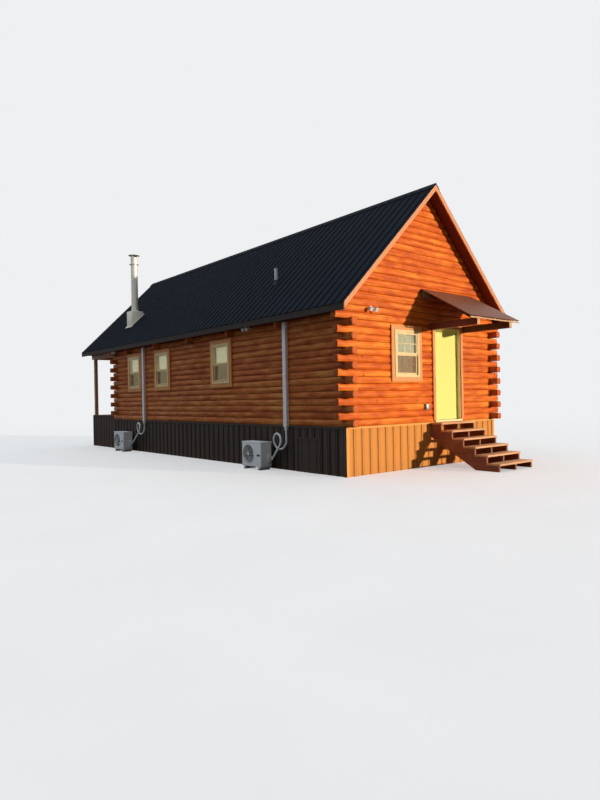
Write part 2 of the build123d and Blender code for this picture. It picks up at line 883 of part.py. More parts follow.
def stair_stringers():
    back = front + skirt_inset - 2 * seat_gap - trim_thickness
    drop = tread_thickness + seat_gap
    points = [(back, top_tread_height - drop)]
    for k in range(tread_count):
        z = top_tread_height - tread_rise() * k - drop
        y = nose(k) + tread_nosing
        points += [(y, z), (y, max(z - tread_rise(), 0))]
    pitch = tread_rise() / tread_run
    deep = stringer_depth * hypot(1, pitch)
    foot = nose(tread_count - 1) + tread_nosing
    line_at_foot = top_tread_height - drop - tread_rise() * tread_count - deep
    points.append((foot + (0 - line_at_foot) / pitch, 0))
    points.append((back, line_at_foot + (back - foot) * pitch))
    x0 = door_centre - stair_width / 2
    starts = (x0, door_centre - stringer_thickness / 2, x0 + stair_width - stringer_thickness)
    return [along_shape(points, x, x + stringer_thickness) for x in starts]


# Outdoor units


def unit_frame(index):
    """The corner nearest the door end of one outdoor unit, at its foot and its front."""
    start = front + duct_centres[index] + loop_size + loop_to_unit[index]
    return -half_width - unit_wall_gap - unit_depth, start, unit_stand


def fan_centre(index):
    x, y, z = unit_frame(index)
    return x, y + fan_offset, z + unit_height / 2


def unit_housing(index):
    """Casing with its fan pocket, the motor inside it, and two feet."""
    x, y, z = unit_frame(index)
    body = block(x, x + unit_depth, y, y + unit_width, z, z + unit_height)
    body = chamfer(body.edges().filter_by(Axis.Z), unit_edge)
    cx, cy, cz = fan_centre(index)
    pocket_radius = (fan_diameter / 2 + fan_clearance) / cos(pi / pocket_sides)
    body -= Pos(cx, cy, cz) * Rot(0, 90, 0) * prism(pocket_radius, pocket_depth, pocket_sides)
    shaft_start = fan_clearance + fan_depth + seat_gap
    for start, diameter in ((shaft_start, shaft_diameter), (shaft_start + shaft_length, motor_diameter)):
        length = pocket_depth - start + 1
        body += Pos(cx + start, cy, cz) * Rot(0, 90, 0) * prism(diameter / 2, length, motor_sides)
    for foot_y in (y + unit_foot, y + unit_width - 2 * unit_foot):
        body += block(x + 10, x + unit_depth - 10, foot_y, foot_y + unit_foot, 0, z + 1)
    return body


def fan(index):
    """Hub and pitched blades, wider towards their tips, on an axis along X."""
    cx, cy, cz = fan_centre(index)
    rotor = Pos(0, 0, hub_boss - fan_depth / 2) * prism(hub_diameter / 2, fan_depth - hub_boss, hub_sides)
    rotor += Pos(0, 0, (1 + hub_boss - fan_depth) / 2) * Cylinder(boss_diameter / 2, hub_boss + 1)
    half_chord = (fan_depth / 2 - blade_thickness) / sin(radians(blade_angle))
    tip = sqrt((fan_diameter / 2) ** 2 - half_chord ** 2)
    outline = make_face(Polyline(
        (0, -half_chord * root_share), (tip, -half_chord), (fan_diameter / 2 - blade_thickness, 0),
        (tip, half_chord), (0, half_chord * root_share), close=True))
    blade = Rot(blade_angle, 0, 0) * extrude(outline, amount=blade_thickness / 2, both=True)
    for k in range(blade_count):
        rotor += Rot(0, 0, 360 / blade_count * k) * blade
    return Pos(cx + fan_clearance + fan_depth / 2, cy, cz) * Rot(0, 90, 0) * rotor


def fan_guard(index):
    """Concentric rings and four arms in front of the fan."""
    cx, cy, cz = fan_centre(index)
    outer = fan_diameter / 2 + fan_clearance + guard_ring
    guard = Box(2 * (outer - guard_ring), guard_ring, guard_ring)
    guard += Rot(0, 0, 90) * guard
    for k in range(guard_rings):
        r = outer * (k + 1) / guard_rings
        guard += extrude(RegularPolygon(r, guard_sides) - RegularPolygon(r - guard_ring, guard_sides),
                         amount=guard_ring / 2, both=True)
    return Pos(cx - guard_ring / 2 - seat_gap, cy, cz) * Rot(0, 90, 0) * guard


def line_ducts():
    return [block(-half_width - seat_gap - duct_depth, -half_width - seat_gap,
                  front + c - duct_width / 2, front + c + duct_width / 2, duct_foot, wall_top - course / 5)
            for c in duct_centres]


def eased(points, size):
    """A route with each of its corners cut off at a distance from the corner."""
    route = [points[0]]
    for before, corner, after in zip(points, points[1:], points[2:]):
        route.append(corner + (before - corner).normalized() * size)
        route.append(corner + (after - corner).normalized() * size)
    return route + [points[-1]]


def refrigerant_line(index):
    """Insulated pipe from the foot of a duct, once round a loop, to the unit's side."""
    x = -half_width - seat_gap - duct_depth / 2
    y = front + duct_centres[index]
    far = y + loop_size
    low = duct_foot - loop_drop[index]
    high = low + loop_size
    unit_x, unit_y, _ = unit_frame(index)
    end_x = unit_x + unit_depth - line_inset
    step = (end_x - x) / 4
    corners = [Vector(*point) for point in (
        (x, y, duct_foot - seat_gap), (x, y, low), (x + step, far, low), (x + 2 * step, far, high),
        (x + 3 * step, y, high), (end_x, y, line_entry_height),
        (end_x, unit_y - seat_gap, line_entry_height))]
    route = Polyline(*eased(corners, bend_size))
    section = Plane(origin=route @ 0, z_dir=route % 0) * RegularPolygon(line_diameter / 2, line_sides)
    return sweep(section, path=route, transition=Transition.RIGHT)


# Lights, outlet and roof pipes


def flood_light(hung):
    """Twin flood light: a round base and two lamps on an arm, under a soffit or on a wall at y = 0."""
    base = prism(light_base_radius, light_base_depth, lamp_sides)
    if hung:
        arm_place = Pos(0, 0, -light_base_depth - seat_gap)
        base = arm_place * base
    else:
        arm_place = Pos(0, -light_base_depth - seat_gap, 0)
        base = Pos(0, -seat_gap, 0) * Rot(90, 0, 0) * base
    light = base + arm_place * Box(lamp_spread, light_arm, light_arm)
    for side in (-1, 1):
        lamp = Pos(0, 0, -lamp_back) * prism(lamp_back_radius, lamp_length, lamp_sides, lamp_radius)
        light += arm_place * Pos(side * lamp_spread / 2, 0, 0) * Rot(lamp_tilt, 0, side * lamp_turn) * lamp
    return light


def flood_lights():
    lights = [Pos(-half_width - light_out, front + along, wall_top) * Rot(0, 0, -90) * flood_light(True)
              for along in (near_soffit_light, house_length - far_soffit_light)]
    return lights + [Pos(gable_light_across, front, wall_top + gable_light_rise) * flood_light(False)]


def outlet_cover():
    half = outlet_size / 2
    back = front - seat_gap
    z = skirt_height + outlet_rise
    return [block(outlet_across - half, outlet_across + half, back - outlet_depth, back, z - half, z + half)]


def roof_cut(x0, x1, y0, y1, top):
    """A block standing on the left-hand roof slope, its foot cut to the slope just over the ribs."""
    lift = -(rib_height + seat_gap)
    points = [(x0, roof_height(x0, lift)), (x0, top), (x1, top), (x1, roof_height(x1, lift))]
    return across_shape(points, y0, y1)


def chimney():
    """Square support box on the slope, and the flue pipe with its collar, shield and rain cap."""
    x = chimney_from_wall - half_width
    y = house_end - chimney_from_end
    half = chimney_box / 2
    box_top = roof_height(x) + chimney_box_rise
    base = roof_cut(x - half, x + half, y - half, y + half, box_top)
    foot = box_top + seat_gap
    top = ridge_height + chimney_over_ridge
    pipe = Pos(x, y, foot) * prism(chimney_diameter / 2, top - foot, chimney_sides)
    for low, diameter, height in ((top, chimney_cap_diameter, chimney_cap_height),
                                  (top - chimney_shield_drop, chimney_shield_diameter, chimney_cap_height),
                                  (foot, chimney_collar_diameter, chimney_collar_height)):
        pipe += Pos(x, y, low) * prism(diameter / 2, height, chimney_sides)
    return [base, pipe]


def vent_pipe():
    """Plumbing vent with the boot that seals it to the slope."""
    x = vent_from_wall - half_width
    y = front + vent_along
    foot = roof_height(x)
    reach = boot_diameter / 2
    column = roof_cut(x - reach, x + reach, y - reach, y + reach, foot + vent_rise)
    low = foot - reach * slope
    pipe = Pos(x, y, low) * prism(vent_diameter / 2, foot + vent_rise - low, vent_sides)
    boot = Pos(x, y, low) * prism(reach, foot + boot_height - low, vent_sides, vent_diameter / 2 + boot_lip)
    return [(pipe + boot) & column]


skirt_left, skirt_right, skirt_end, skirt_porch = skirts()
wall_left = left_wall()
end_left, end_right, end_over = end_wall()
door_gable = gable()
window_frames, window_glass, window_casings = windows()
right_sheet = roof_sheet_right()
canopy_roof, canopy_frame = canopy()
frame_pieces = door_frame() + door_casing()
shut_hinges = door_hinges(Pos(0, 0, -hinge_length / 2) * prism(hinge_radius, hinge_length, turned_sides))
porch_slab = turned([door_slab()])

parts = {
    "skirt_left": skirt_left,
    "skirt_right": skirt_right,
    "skirt_door_end": skirt_end,
    "porch_skirt": skirt_porch,
    "skirt_trim": skirt_trim(),
    "access_hatch": access_hatch(),
    "floor_frame": floor_frame(),
    "foundation_piers": foundation_piers(),
    "floor_boards": floor_boards(),
    "porch_deck": porch_deck(),
    "porch_kerb": porch_kerb(),
    "left_wall": wall_left,
    "right_wall": mirrored(wall_left),
    "door_end_wall_left": end_left,
    "door_end_wall_right": end_right,
    "door_end_wall_top": end_over,
    "porch_end_wall": turned(end_left + end_right + end_over),
    "gables": door_gable + turned(door_gable),
    "tie_beams": tie_beams(),
    "roof_frame": roof_frame(),
    "roof_deck": roof_deck(),
    "roof_sheets": [right_sheet] + mirrored([right_sheet]),
    "ridge_cap": ridge_cap(),
    "rake_boards": rake_boards(),
    "eave_fascia": eave_fascia(),
    "eave_soffits": eave_soffits(),
    "porch_frame": porch_frame(),
    "window_frames": window_frames,
    "window_glass": window_glass,
    "casings": window_casings,
    "door_frame": frame_pieces,
    "door_hinges": door_hinges(Cylinder(hinge_radius, hinge_length)),
    "entry_door": [door_slab()],
    "door_knobs": door_knobs(),
    "porch_door": turned(frame_pieces + shut_hinges + door_knobs()) + porch_slab,
    "canopy_roof": canopy_roof,
    "canopy_frame": canopy_frame,
    "stair_treads": stair_treads(),
    "stair_stringers": stair_stringers(),
    "outdoor_units": [unit_housing(0), unit_housing(1)],
    "fan_guards": [fan_guard(0), fan_guard(1)],
    "fan_near": [fan(0)],
    "fan_far": [fan(1)],
    "line_ducts": line_ducts(),
    "refrigerant_lines": [refrigerant_line(0), refrigerant_line(1)],
    "flood_lights": flood_lights(),
    "outlet_cover": outlet_cover(),
    "chimney": chimney(),
    "vent_pipe": vent_pipe(),
}
for name, items in parts.items():
    write(name, items)
print(len(parts), "sub-parts")
print("door hinge at", hinge_across, hinge_along)
print("fans at", fan_centre(0), fan_centre(1))
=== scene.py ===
# %% [markdown]
# # Log cabin
# A milled-log cabin on a skirted foundation: orange-stained pine logs, a dark ribbed
# metal roof, a canopy and open steps at the door end, and two outdoor heat pump units
# on the long side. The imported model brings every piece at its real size.

# %% Load the model
import math

import bmesh
import bpy
from mathutils import Matrix, Vector


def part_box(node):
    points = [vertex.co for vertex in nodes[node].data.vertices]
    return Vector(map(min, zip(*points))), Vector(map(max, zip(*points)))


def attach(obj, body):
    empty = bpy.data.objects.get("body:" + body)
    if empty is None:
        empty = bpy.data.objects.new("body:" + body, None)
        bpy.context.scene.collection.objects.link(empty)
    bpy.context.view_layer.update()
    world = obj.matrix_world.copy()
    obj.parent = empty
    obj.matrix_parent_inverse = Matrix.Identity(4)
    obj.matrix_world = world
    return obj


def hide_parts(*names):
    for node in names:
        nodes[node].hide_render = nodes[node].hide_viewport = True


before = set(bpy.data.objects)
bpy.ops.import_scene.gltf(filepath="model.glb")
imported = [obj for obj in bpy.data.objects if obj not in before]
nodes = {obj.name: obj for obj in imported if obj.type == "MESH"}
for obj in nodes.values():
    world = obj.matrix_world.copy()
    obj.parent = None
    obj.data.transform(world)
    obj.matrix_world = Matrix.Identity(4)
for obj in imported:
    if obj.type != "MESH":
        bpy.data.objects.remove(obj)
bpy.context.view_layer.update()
bpy.ops.object.select_all(action="DESELECT")

# %% [markdown]
# Most places are read from the boxes of the model's own pieces, so that what is added
# here follows them. What repeats has one pitch: the courses of the logs, the ribs of
# the roof and the skirt, and the closer ribs of the canopy.

# %% Sizes, in metres
COURSE = 0.140
ROOF_ANGLE = math.radians(44.6)
RIB_PITCH = 0.229
RIB_RISE = 0.016
CANOPY_PITCH = 0.150
CAP_RISE = 0.0274
CABIN_MIDDLE = (0.0, 6.0)
WALL_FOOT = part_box("skirt_left")[1].z
FRONT_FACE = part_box("door_end_wall_left")[0].y
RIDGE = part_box("ridge_cap")[1].z - CAP_RISE
print("wall foot", WALL_FOOT, "front face", FRONT_FACE, "ridge", RIDGE)

# %% [markdown]
# ## Camera
# The photograph is taken from about eye height, 11.5 m from the near corner, in
# upright format. The camera looks along +Y, turned towards +X by the yaw, and is rolled
# about its view line. The lens makes the walls' corners fall where they do in the picture.

# %% Camera
CAMERA_PLACE = Vector((-10.513, -8.277, 1.520))
CAMERA_YAW = 0.6931
CAMERA_PITCH = -0.0013
CAMERA_ROLL = -0.0180
LENS = 26.94

camera_data = bpy.data.cameras.new("camera")
camera_data.lens = LENS
camera_data.clip_end = 200
camera = bpy.data.objects.new("camera", camera_data)
camera.matrix_world = (Matrix.Translation(CAMERA_PLACE) @ Matrix.Rotation(-CAMERA_YAW, 4, "Z")
                       @ Matrix.Rotation(math.pi / 2 + CAMERA_PITCH, 4, "X") @ Matrix.Rotation(CAMERA_ROLL, 4, "Z"))
bpy.context.scene.collection.objects.link(camera)
bpy.context.scene.camera = camera
bpy.context.scene.view_settings.view_transform = "Standard"
print("camera at", list(camera.location), "lens", LENS)

# %% [markdown]
# ## Shader nodes
# The light and every finish are small trees of nodes, and these helpers keep them
# short. They all add to the tree that was opened last. Patterns are worked out from
# noise on Object coordinates, in metres, so they have one scale on every piece.

# %% Helpers for shader nodes


def open_nodes(owner):
    """Empties the tree of a material or a world, which the other helpers then work on."""
    global current
    current = owner
    current.use_nodes = True
    current.node_tree.nodes.clear()


def add(kind, inputs=None, **settings):
    """A shader node with its settings, and its inputs linked or set by name or number."""
    made = current.node_tree.nodes.new("ShaderNode" + kind)
    for name, value in settings.items():
        setattr(made, name, value)
    for name, value in (inputs or {}).items():
        socket = made.inputs[name]
        if isinstance(value, bpy.types.NodeSocket):
            current.node_tree.links.new(value, socket)
        else:
            socket.default_value = value
    return made


def maths(operation, first, second=0.0):
    """The result of one Math node."""
    return add("Math", {0: first, 1: second}, operation=operation).outputs[0]


def times(result, *factors):
    """The product of values."""
    for factor in factors:
        result = maths("MULTIPLY", result, factor)
    return result


def weighted(*terms):
    """The sum of values, each given with its weight."""
    total, *others = [times(value, weight) for value, weight in terms]
    for other in others:
        total = maths("ADD", total, other)
    return total


def facing(axis):
    """How far a face looks along an axis, from -1 to 1."""
    return add("SeparateXYZ", {0: add("TexCoord").outputs["Normal"]}).outputs[axis]


def at_end(axis):
    """1 on the faces that lie across an axis, 0 on all others."""
    return maths("GREATER_THAN", maths("ABSOLUTE", facing(axis)), 0.9)


def joined(x, y, z):
    """Three values as one vector."""
    return add("CombineXYZ", {0: x, 1: y, 2: z}).outputs[0]


def noise(axes, scale=1.0, detail=4.0, roughness=0.5):
    """A noise value from 0 to 1, with one scale or with one for each axis."""
    if isinstance(scale, tuple):
        axes = [times(axis, own) for axis, own in zip(axes, scale)]
        scale = 1.0
    inputs = {"Vector": joined(*axes), "Scale": scale, "Detail": detail, "Roughness": roughness}
    return add("TexNoise", inputs).outputs[0]


def ramp(value, *stops):
    """A value turned into a colour or a grey by stops of (place, colour) or (place, level)."""
    made = add("ValToRGB", {0: value})
    elements = made.color_ramp.elements
    while len(elements) < len(stops):
        elements.new(0.5)
    for element, (place, colour) in zip(elements, stops):
        element.position = place
        element.color = colour if isinstance(colour, tuple) else (colour, colour, colour, 1)
    return made.outputs[0]


def mixed(share, first, second, blend="MIX"):
    """Two colours mixed by a share from 0 to 1."""
    inputs = {0: share, 6: first, 7: second}
    return add("Mix", inputs, data_type="RGBA", blend_type=blend).outputs[2]


def srgb(red, green, blue):
    """A colour read off in 0 to 255 steps, as the linear colour that a shader takes."""
    levels = [c / 255 for c in (red, green, blue)]
    return tuple(c / 12.92 if c <= 0.04045 else ((c + 0.055) / 1.055) ** 2.4 for c in levels) + (1,)


def darker(colour, share):
    """A colour with only a share of its light."""
    return tuple(c * share for c in colour[:3]) + (1,)


def new_finish(name):
    """Opens a new material, and gives its Object coordinates as three values, in metres."""
    open_nodes(bpy.data.materials.new(name))
    parts = add("SeparateXYZ", {0: add("TexCoord").outputs["Object"]})
    return [parts.outputs[k] for k in range(3)]


def surface(inputs, height=None, strength=0.3, distance=0.004):
    """Ends the open finish with its shader, and a relief if a height is given, and returns it."""
    if height is not None:
        bump = add("Bump", {"Height": height, "Strength": strength, "Distance": distance})
        inputs = {**inputs, "Normal": bump.outputs[0]}
    shader = add("BsdfPrincipled", inputs)
    add("OutputMaterial", {"Surface": shader.outputs[0]})
    return current


def dress(finish, *names):
    """Gives pieces of the model one finish all over, and returns the finish."""
    for name in names:
        slots = nodes[name].data.materials
        slots.clear()
        slots.append(finish)
    print(finish.name, "on", ", ".join(names))
    return finish


# %% [markdown]
# ## Light
# One key light comes in low over the right shoulder. The shadows of the canopy and the
# steps in the photograph give its direction: it lights the door end and leaves the long
# side in shade. The world fills the shade with a cooler light, stronger from above and
# weaker from the front, so the shade under the canopy stays deep. In the picture, in
# glass and in metal it is a plain pale backdrop instead.

# %% Light
KEY_DIRECTION = Vector((-0.43, 0.90, -0.088))
KEY_STRENGTH = 3.5
KEY_SOFTNESS = math.radians(1.5)
KEY_COLOUR = (1.0, 0.93, 0.82)
FILL_STRENGTH = 0.58
FILL_FROM_BELOW, FILL_FROM_ABOVE = 0.35, 1.9
FILL_FROM_FRONT = 0.08
FILL_COLOUR = (0.82, 0.97, 1.18, 1)
PALE = (0.86, 0.87, 0.88, 1)

key_data = bpy.data.lights.new("key", "SUN")
key_data.energy = KEY_STRENGTH
key_data.angle = KEY_SOFTNESS
key_data.color = KEY_COLOUR
key = bpy.data.objects.new("key", key_data)
key.rotation_mode = "QUATERNION"
key.rotation_quaternion = KEY_DIRECTION.to_track_quat("-Z", "Y")
bpy.context.scene.collection.objects.link(key)

bpy.context.scene.world = bpy.data.worlds.new("studio")
open_nodes(bpy.context.scene.world)
rays = add("LightPath").outputs
seen = maths("MAXIMUM", rays["Is Camera Ray"], rays["Is Transmission Ray"])
seen = maths("MAXIMUM", seen, rays["Is Glossy Ray"])
direction = add("SeparateXYZ", {0: add("TexCoord").outputs["Generated"]}).outputs
from_above = add("MapRange", {"Value": direction["Z"], "To Min": FILL_STRENGTH * FILL_FROM_BELOW,
                              "To Max": FILL_STRENGTH * FILL_FROM_ABOVE}).outputs[0]
from_front = add("MapRange", {"Value": direction["Y"], "From Min": -0.9, "From Max": 0.15,
                              "To Min": FILL_FROM_FRONT}).outputs[0]
fill = add("Background", {"Color": FILL_COLOUR, "Strength": times(from_above, from_front)})
backdrop = add("Background", {"Color": PALE, "Strength": 1.0})
both = add("MixShader", {0: seen, 1: fill.outputs[0], 2: backdrop.outputs[0]})
add("OutputWorld", {"Surface": both.outputs[0]})
print("key light", KEY_STRENGTH, "fill", FILL_STRENGTH)

# %% [markdown]
# ## Floor
# The floor is matt and pale. For the camera alone it glows a little and turns into the
# colour of the backdrop with distance, so no horizon shows. What it throws back on the
# walls is kept low, so that the logs stay round to the eye.

# %% Floor
FLOOR_GLOW = 0.40
FADE_START, FADE_END = 14.0, 34.0

bpy.ops.mesh.primitive_plane_add(size=120, location=(0, 6, 0))
floor = bpy.context.object
floor.name = "floor"

x, y, z = new_finish("pale_floor")
reach = add("VectorMath", {0: joined(x, y, 0.0)}, operation="LENGTH").outputs["Value"]
fade = add("MapRange", {"Value": reach, "From Min": FADE_START, "From Max": FADE_END},
           interpolation_type="SMOOTHSTEP").outputs[0]
tint = ramp(noise((x, y, z), 0.8, 3.0), (0.3, srgb(209, 201, 190)), (0.7, srgb(215, 207, 196)))
matt = add("BsdfPrincipled", {"Base Color": tint, "Roughness": 0.95})
glow = add("Emission", {"Color": (1.0, 1.0, 1.0, 1), "Strength": FLOOR_GLOW})
near = add("AddShader", {0: matt.outputs[0], 1: glow.outputs[0]})
distant = add("Emission", {"Color": PALE, "Strength": 1.0})
faded = add("MixShader", {0: fade, 1: near.outputs[0], 2: distant.outputs[0]})
bounce = add("BsdfDiffuse", {"Color": srgb(118, 116, 113)})
camera_ray = add("LightPath").outputs["Is Camera Ray"]
both = add("MixShader", {0: camera_ray, 1: bounce.outputs[0], 2: faded.outputs[0]})
add("OutputMaterial", {"Surface": both.outputs[0]})
floor.data.materials.append(current)
print("floor fades out from", FADE_START, "to", FADE_END, "m")

# %% [markdown]
# ## Logs
# The logs are milled pine with an orange-brown stain. The low sun makes it a bright orange
# at the door end and a dull brown on the long side, and this is painted into the colour: the
# stain and the sawn ends have a painted sunlit and a painted shaded tone. Each log took the
# stain a little differently, so every course gets its own tone from a random number. The grain
# is noise stretched along the log, knots are Voronoi cells, and the joints between courses
# are darkened for the dust and, as painted shade, for the shadow that gathers there.

# %% Log finish
# Sunlit and shaded tones of one stain and of its sawn ends: painted light and painted shade.
SUNLIT_PAINTED_STAIN = (srgb(188, 74, 16), srgb(234, 106, 20), srgb(250, 146, 44))
SHADED_PAINTED_STAIN = (srgb(150, 68, 28), srgb(192, 98, 36), srgb(212, 136, 64))
SUNLIT_PAINTED_ENDS = (srgb(192, 80, 22), srgb(232, 112, 34))
SHADED_PAINTED_ENDS = (srgb(146, 68, 28), srgb(182, 94, 38))
KNOT = srgb(112, 44, 18)
JOINT_DUST_AND_SHADE = srgb(96, 36, 14)
KNOTLESS_SHARE = 0.80


def log_finish(name, along, stain_with_painted_light, ends):
    """Stained log, with its grain along axis 0 or 1, in a painted sunlit or painted shaded tone."""
    axes = new_finish(name)
    run, across, up = axes[along], axes[1 - along], axes[2]
    height = maths("DIVIDE", maths("SUBTRACT", up, WALL_FOOT), COURSE)
    side = maths("FLOOR", times(across, 0.35))
    seed = maths("ADD", maths("FLOOR", height), times(side, 17.3))
    chance = add("TexWhiteNoise", {"W": seed}, noise_dimensions="1D").outputs[0]
    shift = times(chance, 40.0)
    start = maths("ADD", run, shift)
    grain = noise((start, across, up), (0.9, 9.0, 26.0), 5.0, 0.55)
    fibre = noise((start, across, up), (5.0, 120.0, 220.0), 3.0)
    blotch = noise((start, shift, up), (2.6, 1.0, 8.0), 3.0)
    tone = weighted((grain, 0.5), (fibre, 0.15), (blotch, 0.5), (chance, 0.08))
    colour = ramp(tone, (0.44, stain_with_painted_light[0]), (0.61, stain_with_painted_light[1]), (0.76, stain_with_painted_light[2]))

    cells = add("TexVoronoi", {"Vector": joined(start, shift, up), "Scale": 6.5}).outputs
    lucky = add("SeparateColor", {0: cells["Color"]}).outputs[0]
    lucky = maths("GREATER_THAN", lucky, KNOTLESS_SHARE)
    knot = times(ramp(cells["Distance"], (0.05, 1), (0.13, 0)), lucky)
    halo = times(ramp(cells["Distance"], (0.08, 1), (0.30, 0)), lucky, 0.35)
    colour = mixed(halo, colour, stain_with_painted_light[0])
    colour = mixed(knot, colour, KNOT)

    # The joints between courses are darkened: partly dust, partly painted shade in the grooves.
    from_bed = maths("SUBTRACT", maths("FRACT", height), 0.5)
    edge = times(maths("ABSOLUTE", from_bed), 2.0)
    colour = mixed(ramp(edge, (0.86, 0), (1.0, 0.65)), colour, JOINT_DUST_AND_SHADE)

    core = joined(across, times(from_bed, COURSE), chance)
    growth = add("TexWave", {"Vector": core, "Scale": 42.0, "Distortion": 2.5, "Detail": 2.0},
                 wave_type="RINGS", rings_direction="Z").outputs[0]
    # The sawn ends take the painted sunlit or painted shaded tone that the caller gives.
    colour = mixed(at_end(along), colour, ramp(growth, (0.2, ends[0]), (0.8, ends[1])))
    relief = weighted((fibre, 0.6), (knot, -0.8), (grain, 0.7))
    return surface({"Base Color": colour, "Roughness": 0.6, "Specular IOR Level": 0.22}, relief, 0.35)


# Door end and gables wear the painted sunlit stain with shaded ends, the long sides the painted shaded stain with
# sunlit ends, and the porch end and tie beams shade all over.
logs_along_x = dress(log_finish("logs_along_x", 0, SUNLIT_PAINTED_STAIN, SHADED_PAINTED_ENDS),
                     "door_end_wall_left", "door_end_wall_right", "door_end_wall_top", "gables")
logs_along_y = dress(log_finish("logs_along_y", 1, SHADED_PAINTED_STAIN, SUNLIT_PAINTED_ENDS), "left_wall", "right_wall")
logs_in_shade = dress(log_finish("logs_in_shade", 0, SHADED_PAINTED_STAIN, SHADED_PAINTED_ENDS), "porch_end_wall", "tie_beams")

# %% [markdown]
# ## Sawn and stained timber
# Casings, steps, decks and framing are sawn boards. One function makes them all: it
# takes the direction of the grain and the colours of the stain. The canopy timber is painted
# dark as shade, with a pale tone on its faces across Y that is partly bare end grain and
# partly painted sunlight.

# %% Board finish
WORN_WOOD = srgb(196, 172, 140)


def board_finish(name, along, dark, light, worn=0.0, pale_end_and_lit_face=None):
    """Sawn timber with its grain along an axis, worn paler in patches, perhaps with pale faces across the grain
    that are partly bare end grain, partly a painted sunlit face.
    """
    axes = new_finish(name)
    grain = noise(axes, tuple(2.0 if k == along else 48.0 for k in range(3)), 6.0, 0.6)
    tone = weighted((grain, 0.75), (noise(axes, 1.7, 2.0), 0.3))
    colour = ramp(tone, (0.36, dark), (0.70, light))
    patches = ramp(noise(axes, 6.0, 5.0), (0.52, 0), (0.70, worn))
    colour = mixed(patches, colour, WORN_WOOD)
    # Faces across the grain take the pale tone: bare end grain, and on the canopy fascia painted sunlight.
    if pale_end_and_lit_face:
        rings = ramp(noise(axes, 60.0), (0.3, 0.7), (0.7, 1.0))
        sawn = mixed(1.0, rings, pale_end_and_lit_face, blend="MULTIPLY")
        colour = mixed(at_end(along), colour, sawn)
    return surface({"Base Color": colour, "Roughness": 0.6}, grain, 0.35, 0.002)


dress(board_finish("casing_boards", 2, srgb(212, 126, 58), srgb(240, 162, 84)), "casings")
steps_finish = dress(board_finish("step_boards", 0, srgb(206, 132, 82), srgb(242, 184, 126), 0.25),
                     "stair_treads")
dress(board_finish("stringer_boards", 1, srgb(122, 60, 36), srgb(164, 94, 56), 0.1), "stair_stringers")
deck_finish = dress(board_finish("deck_boards", 0, srgb(150, 104, 66), srgb(196, 146, 98), 0.3),
                    "porch_deck", "porch_kerb", "floor_boards")
dress(board_finish("framing_timber", 1, srgb(168, 118, 70), srgb(206, 160, 108)), "floor_frame", "roof_frame")
dress(board_finish("soffit_boards", 1, srgb(88, 22, 12), srgb(122, 40, 24)), "eave_soffits", "roof_deck")
# Canopy timber: a dark colour as painted shade, and a pale painted sunlit tone on the faces across Y.
dress(board_finish("canopy_timber", 1, srgb(84, 34, 20), srgb(122, 56, 32), pale_end_and_lit_face=srgb(232, 172, 112)),
      "canopy_frame")
dress(board_finish("post_timber", 2, srgb(176, 126, 96), srgb(212, 166, 132)), "porch_frame")

# %% [markdown]
# ## Painted sheet metal
# Roof, skirt and trim are factory-painted steel. The paint is even, with a thin film
# of dust that runs down in streaks and splashes of soil close to the ground. The end
# skirt stands in the sun and the others in the shade, and this is painted into their colour:
# a sunlit orange on the end skirt and a shaded brown on the others, painted light and painted
# shade as on the logs. The corner trim turns the corner, and has the painted sunlit tone on
# its end face.

# %% Painted metal finish
# The skirt brown is painted shade and the trim tone painted sunlight.
SHADED_SKIRT_BROWN = srgb(70, 58, 51)
SUNLIT_TRIM_TONE = srgb(246, 168, 88)
DUST = srgb(150, 138, 122)
SOIL = srgb(134, 96, 66)


def painted_finish(name, colour, roughness, dust=0.12, splash=0.0, gloss=0.5, ribs=None, rib_dirt_and_shade=0.8, end_tone=None):
    """Painted steel with dust streaks, soil splashed near the ground, and dirt and painted shade at the foot of its
    ribs.

    Ribs are given as their axis, the place of one of them and their pitch. A sunlit end tone is
    painted light: the colour of the faces that look out of the door end, into the sun.
    """
    axes = new_finish(name)
    streaks = noise(axes, (14.0, 14.0, 1.2))
    film = noise(axes, 1.1, 5.0)
    base = mixed(times(streaks, film, dust * 3.2), colour, DUST)
    if splash:
        low = maths("SUBTRACT", 1.0, times(axes[2], 3.2))
        speckle = times(noise(axes, 34.0), splash)
        base = mixed(times(maths("MAXIMUM", low, 0.0), speckle), base, SOIL)
    if ribs:
        axis, start, pitch = ribs
        turns = maths("DIVIDE", maths("SUBTRACT", axes[axis], start), pitch)
        part = maths("FRACT", maths("ADD", turns, 0.5))
        beside = maths("ABSOLUTE", maths("SUBTRACT", part, 0.5))
        # Dark bands beside the foot of each rib: partly dirt, partly painted shade from the ribs.
        dirt = ramp(beside, (0.05, 0), (0.11, rib_dirt_and_shade), (0.18, rib_dirt_and_shade * 0.9), (0.30, 0))
        base = mixed(dirt, base, darker(colour, 0.12))
    if end_tone:
        base = mixed(maths("LESS_THAN", facing(1), -0.5), base, end_tone)
    rough = maths("ADD", roughness - 0.08, times(film, 0.2))
    return surface({"Base Color": base, "Roughness": rough, "Specular IOR Level": gloss},
                   noise(axes, 3.0, 1.0), 0.12, 0.01)


def skirt_finish(name, **extras):
    """The brown paint of the skirt, with the shade of the long sides painted into it."""
    return painted_finish(name, SHADED_SKIRT_BROWN, 0.6, splash=0.3, gloss=0.1, **extras)


side_middle = sum(corner.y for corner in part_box("skirt_left")) / 2
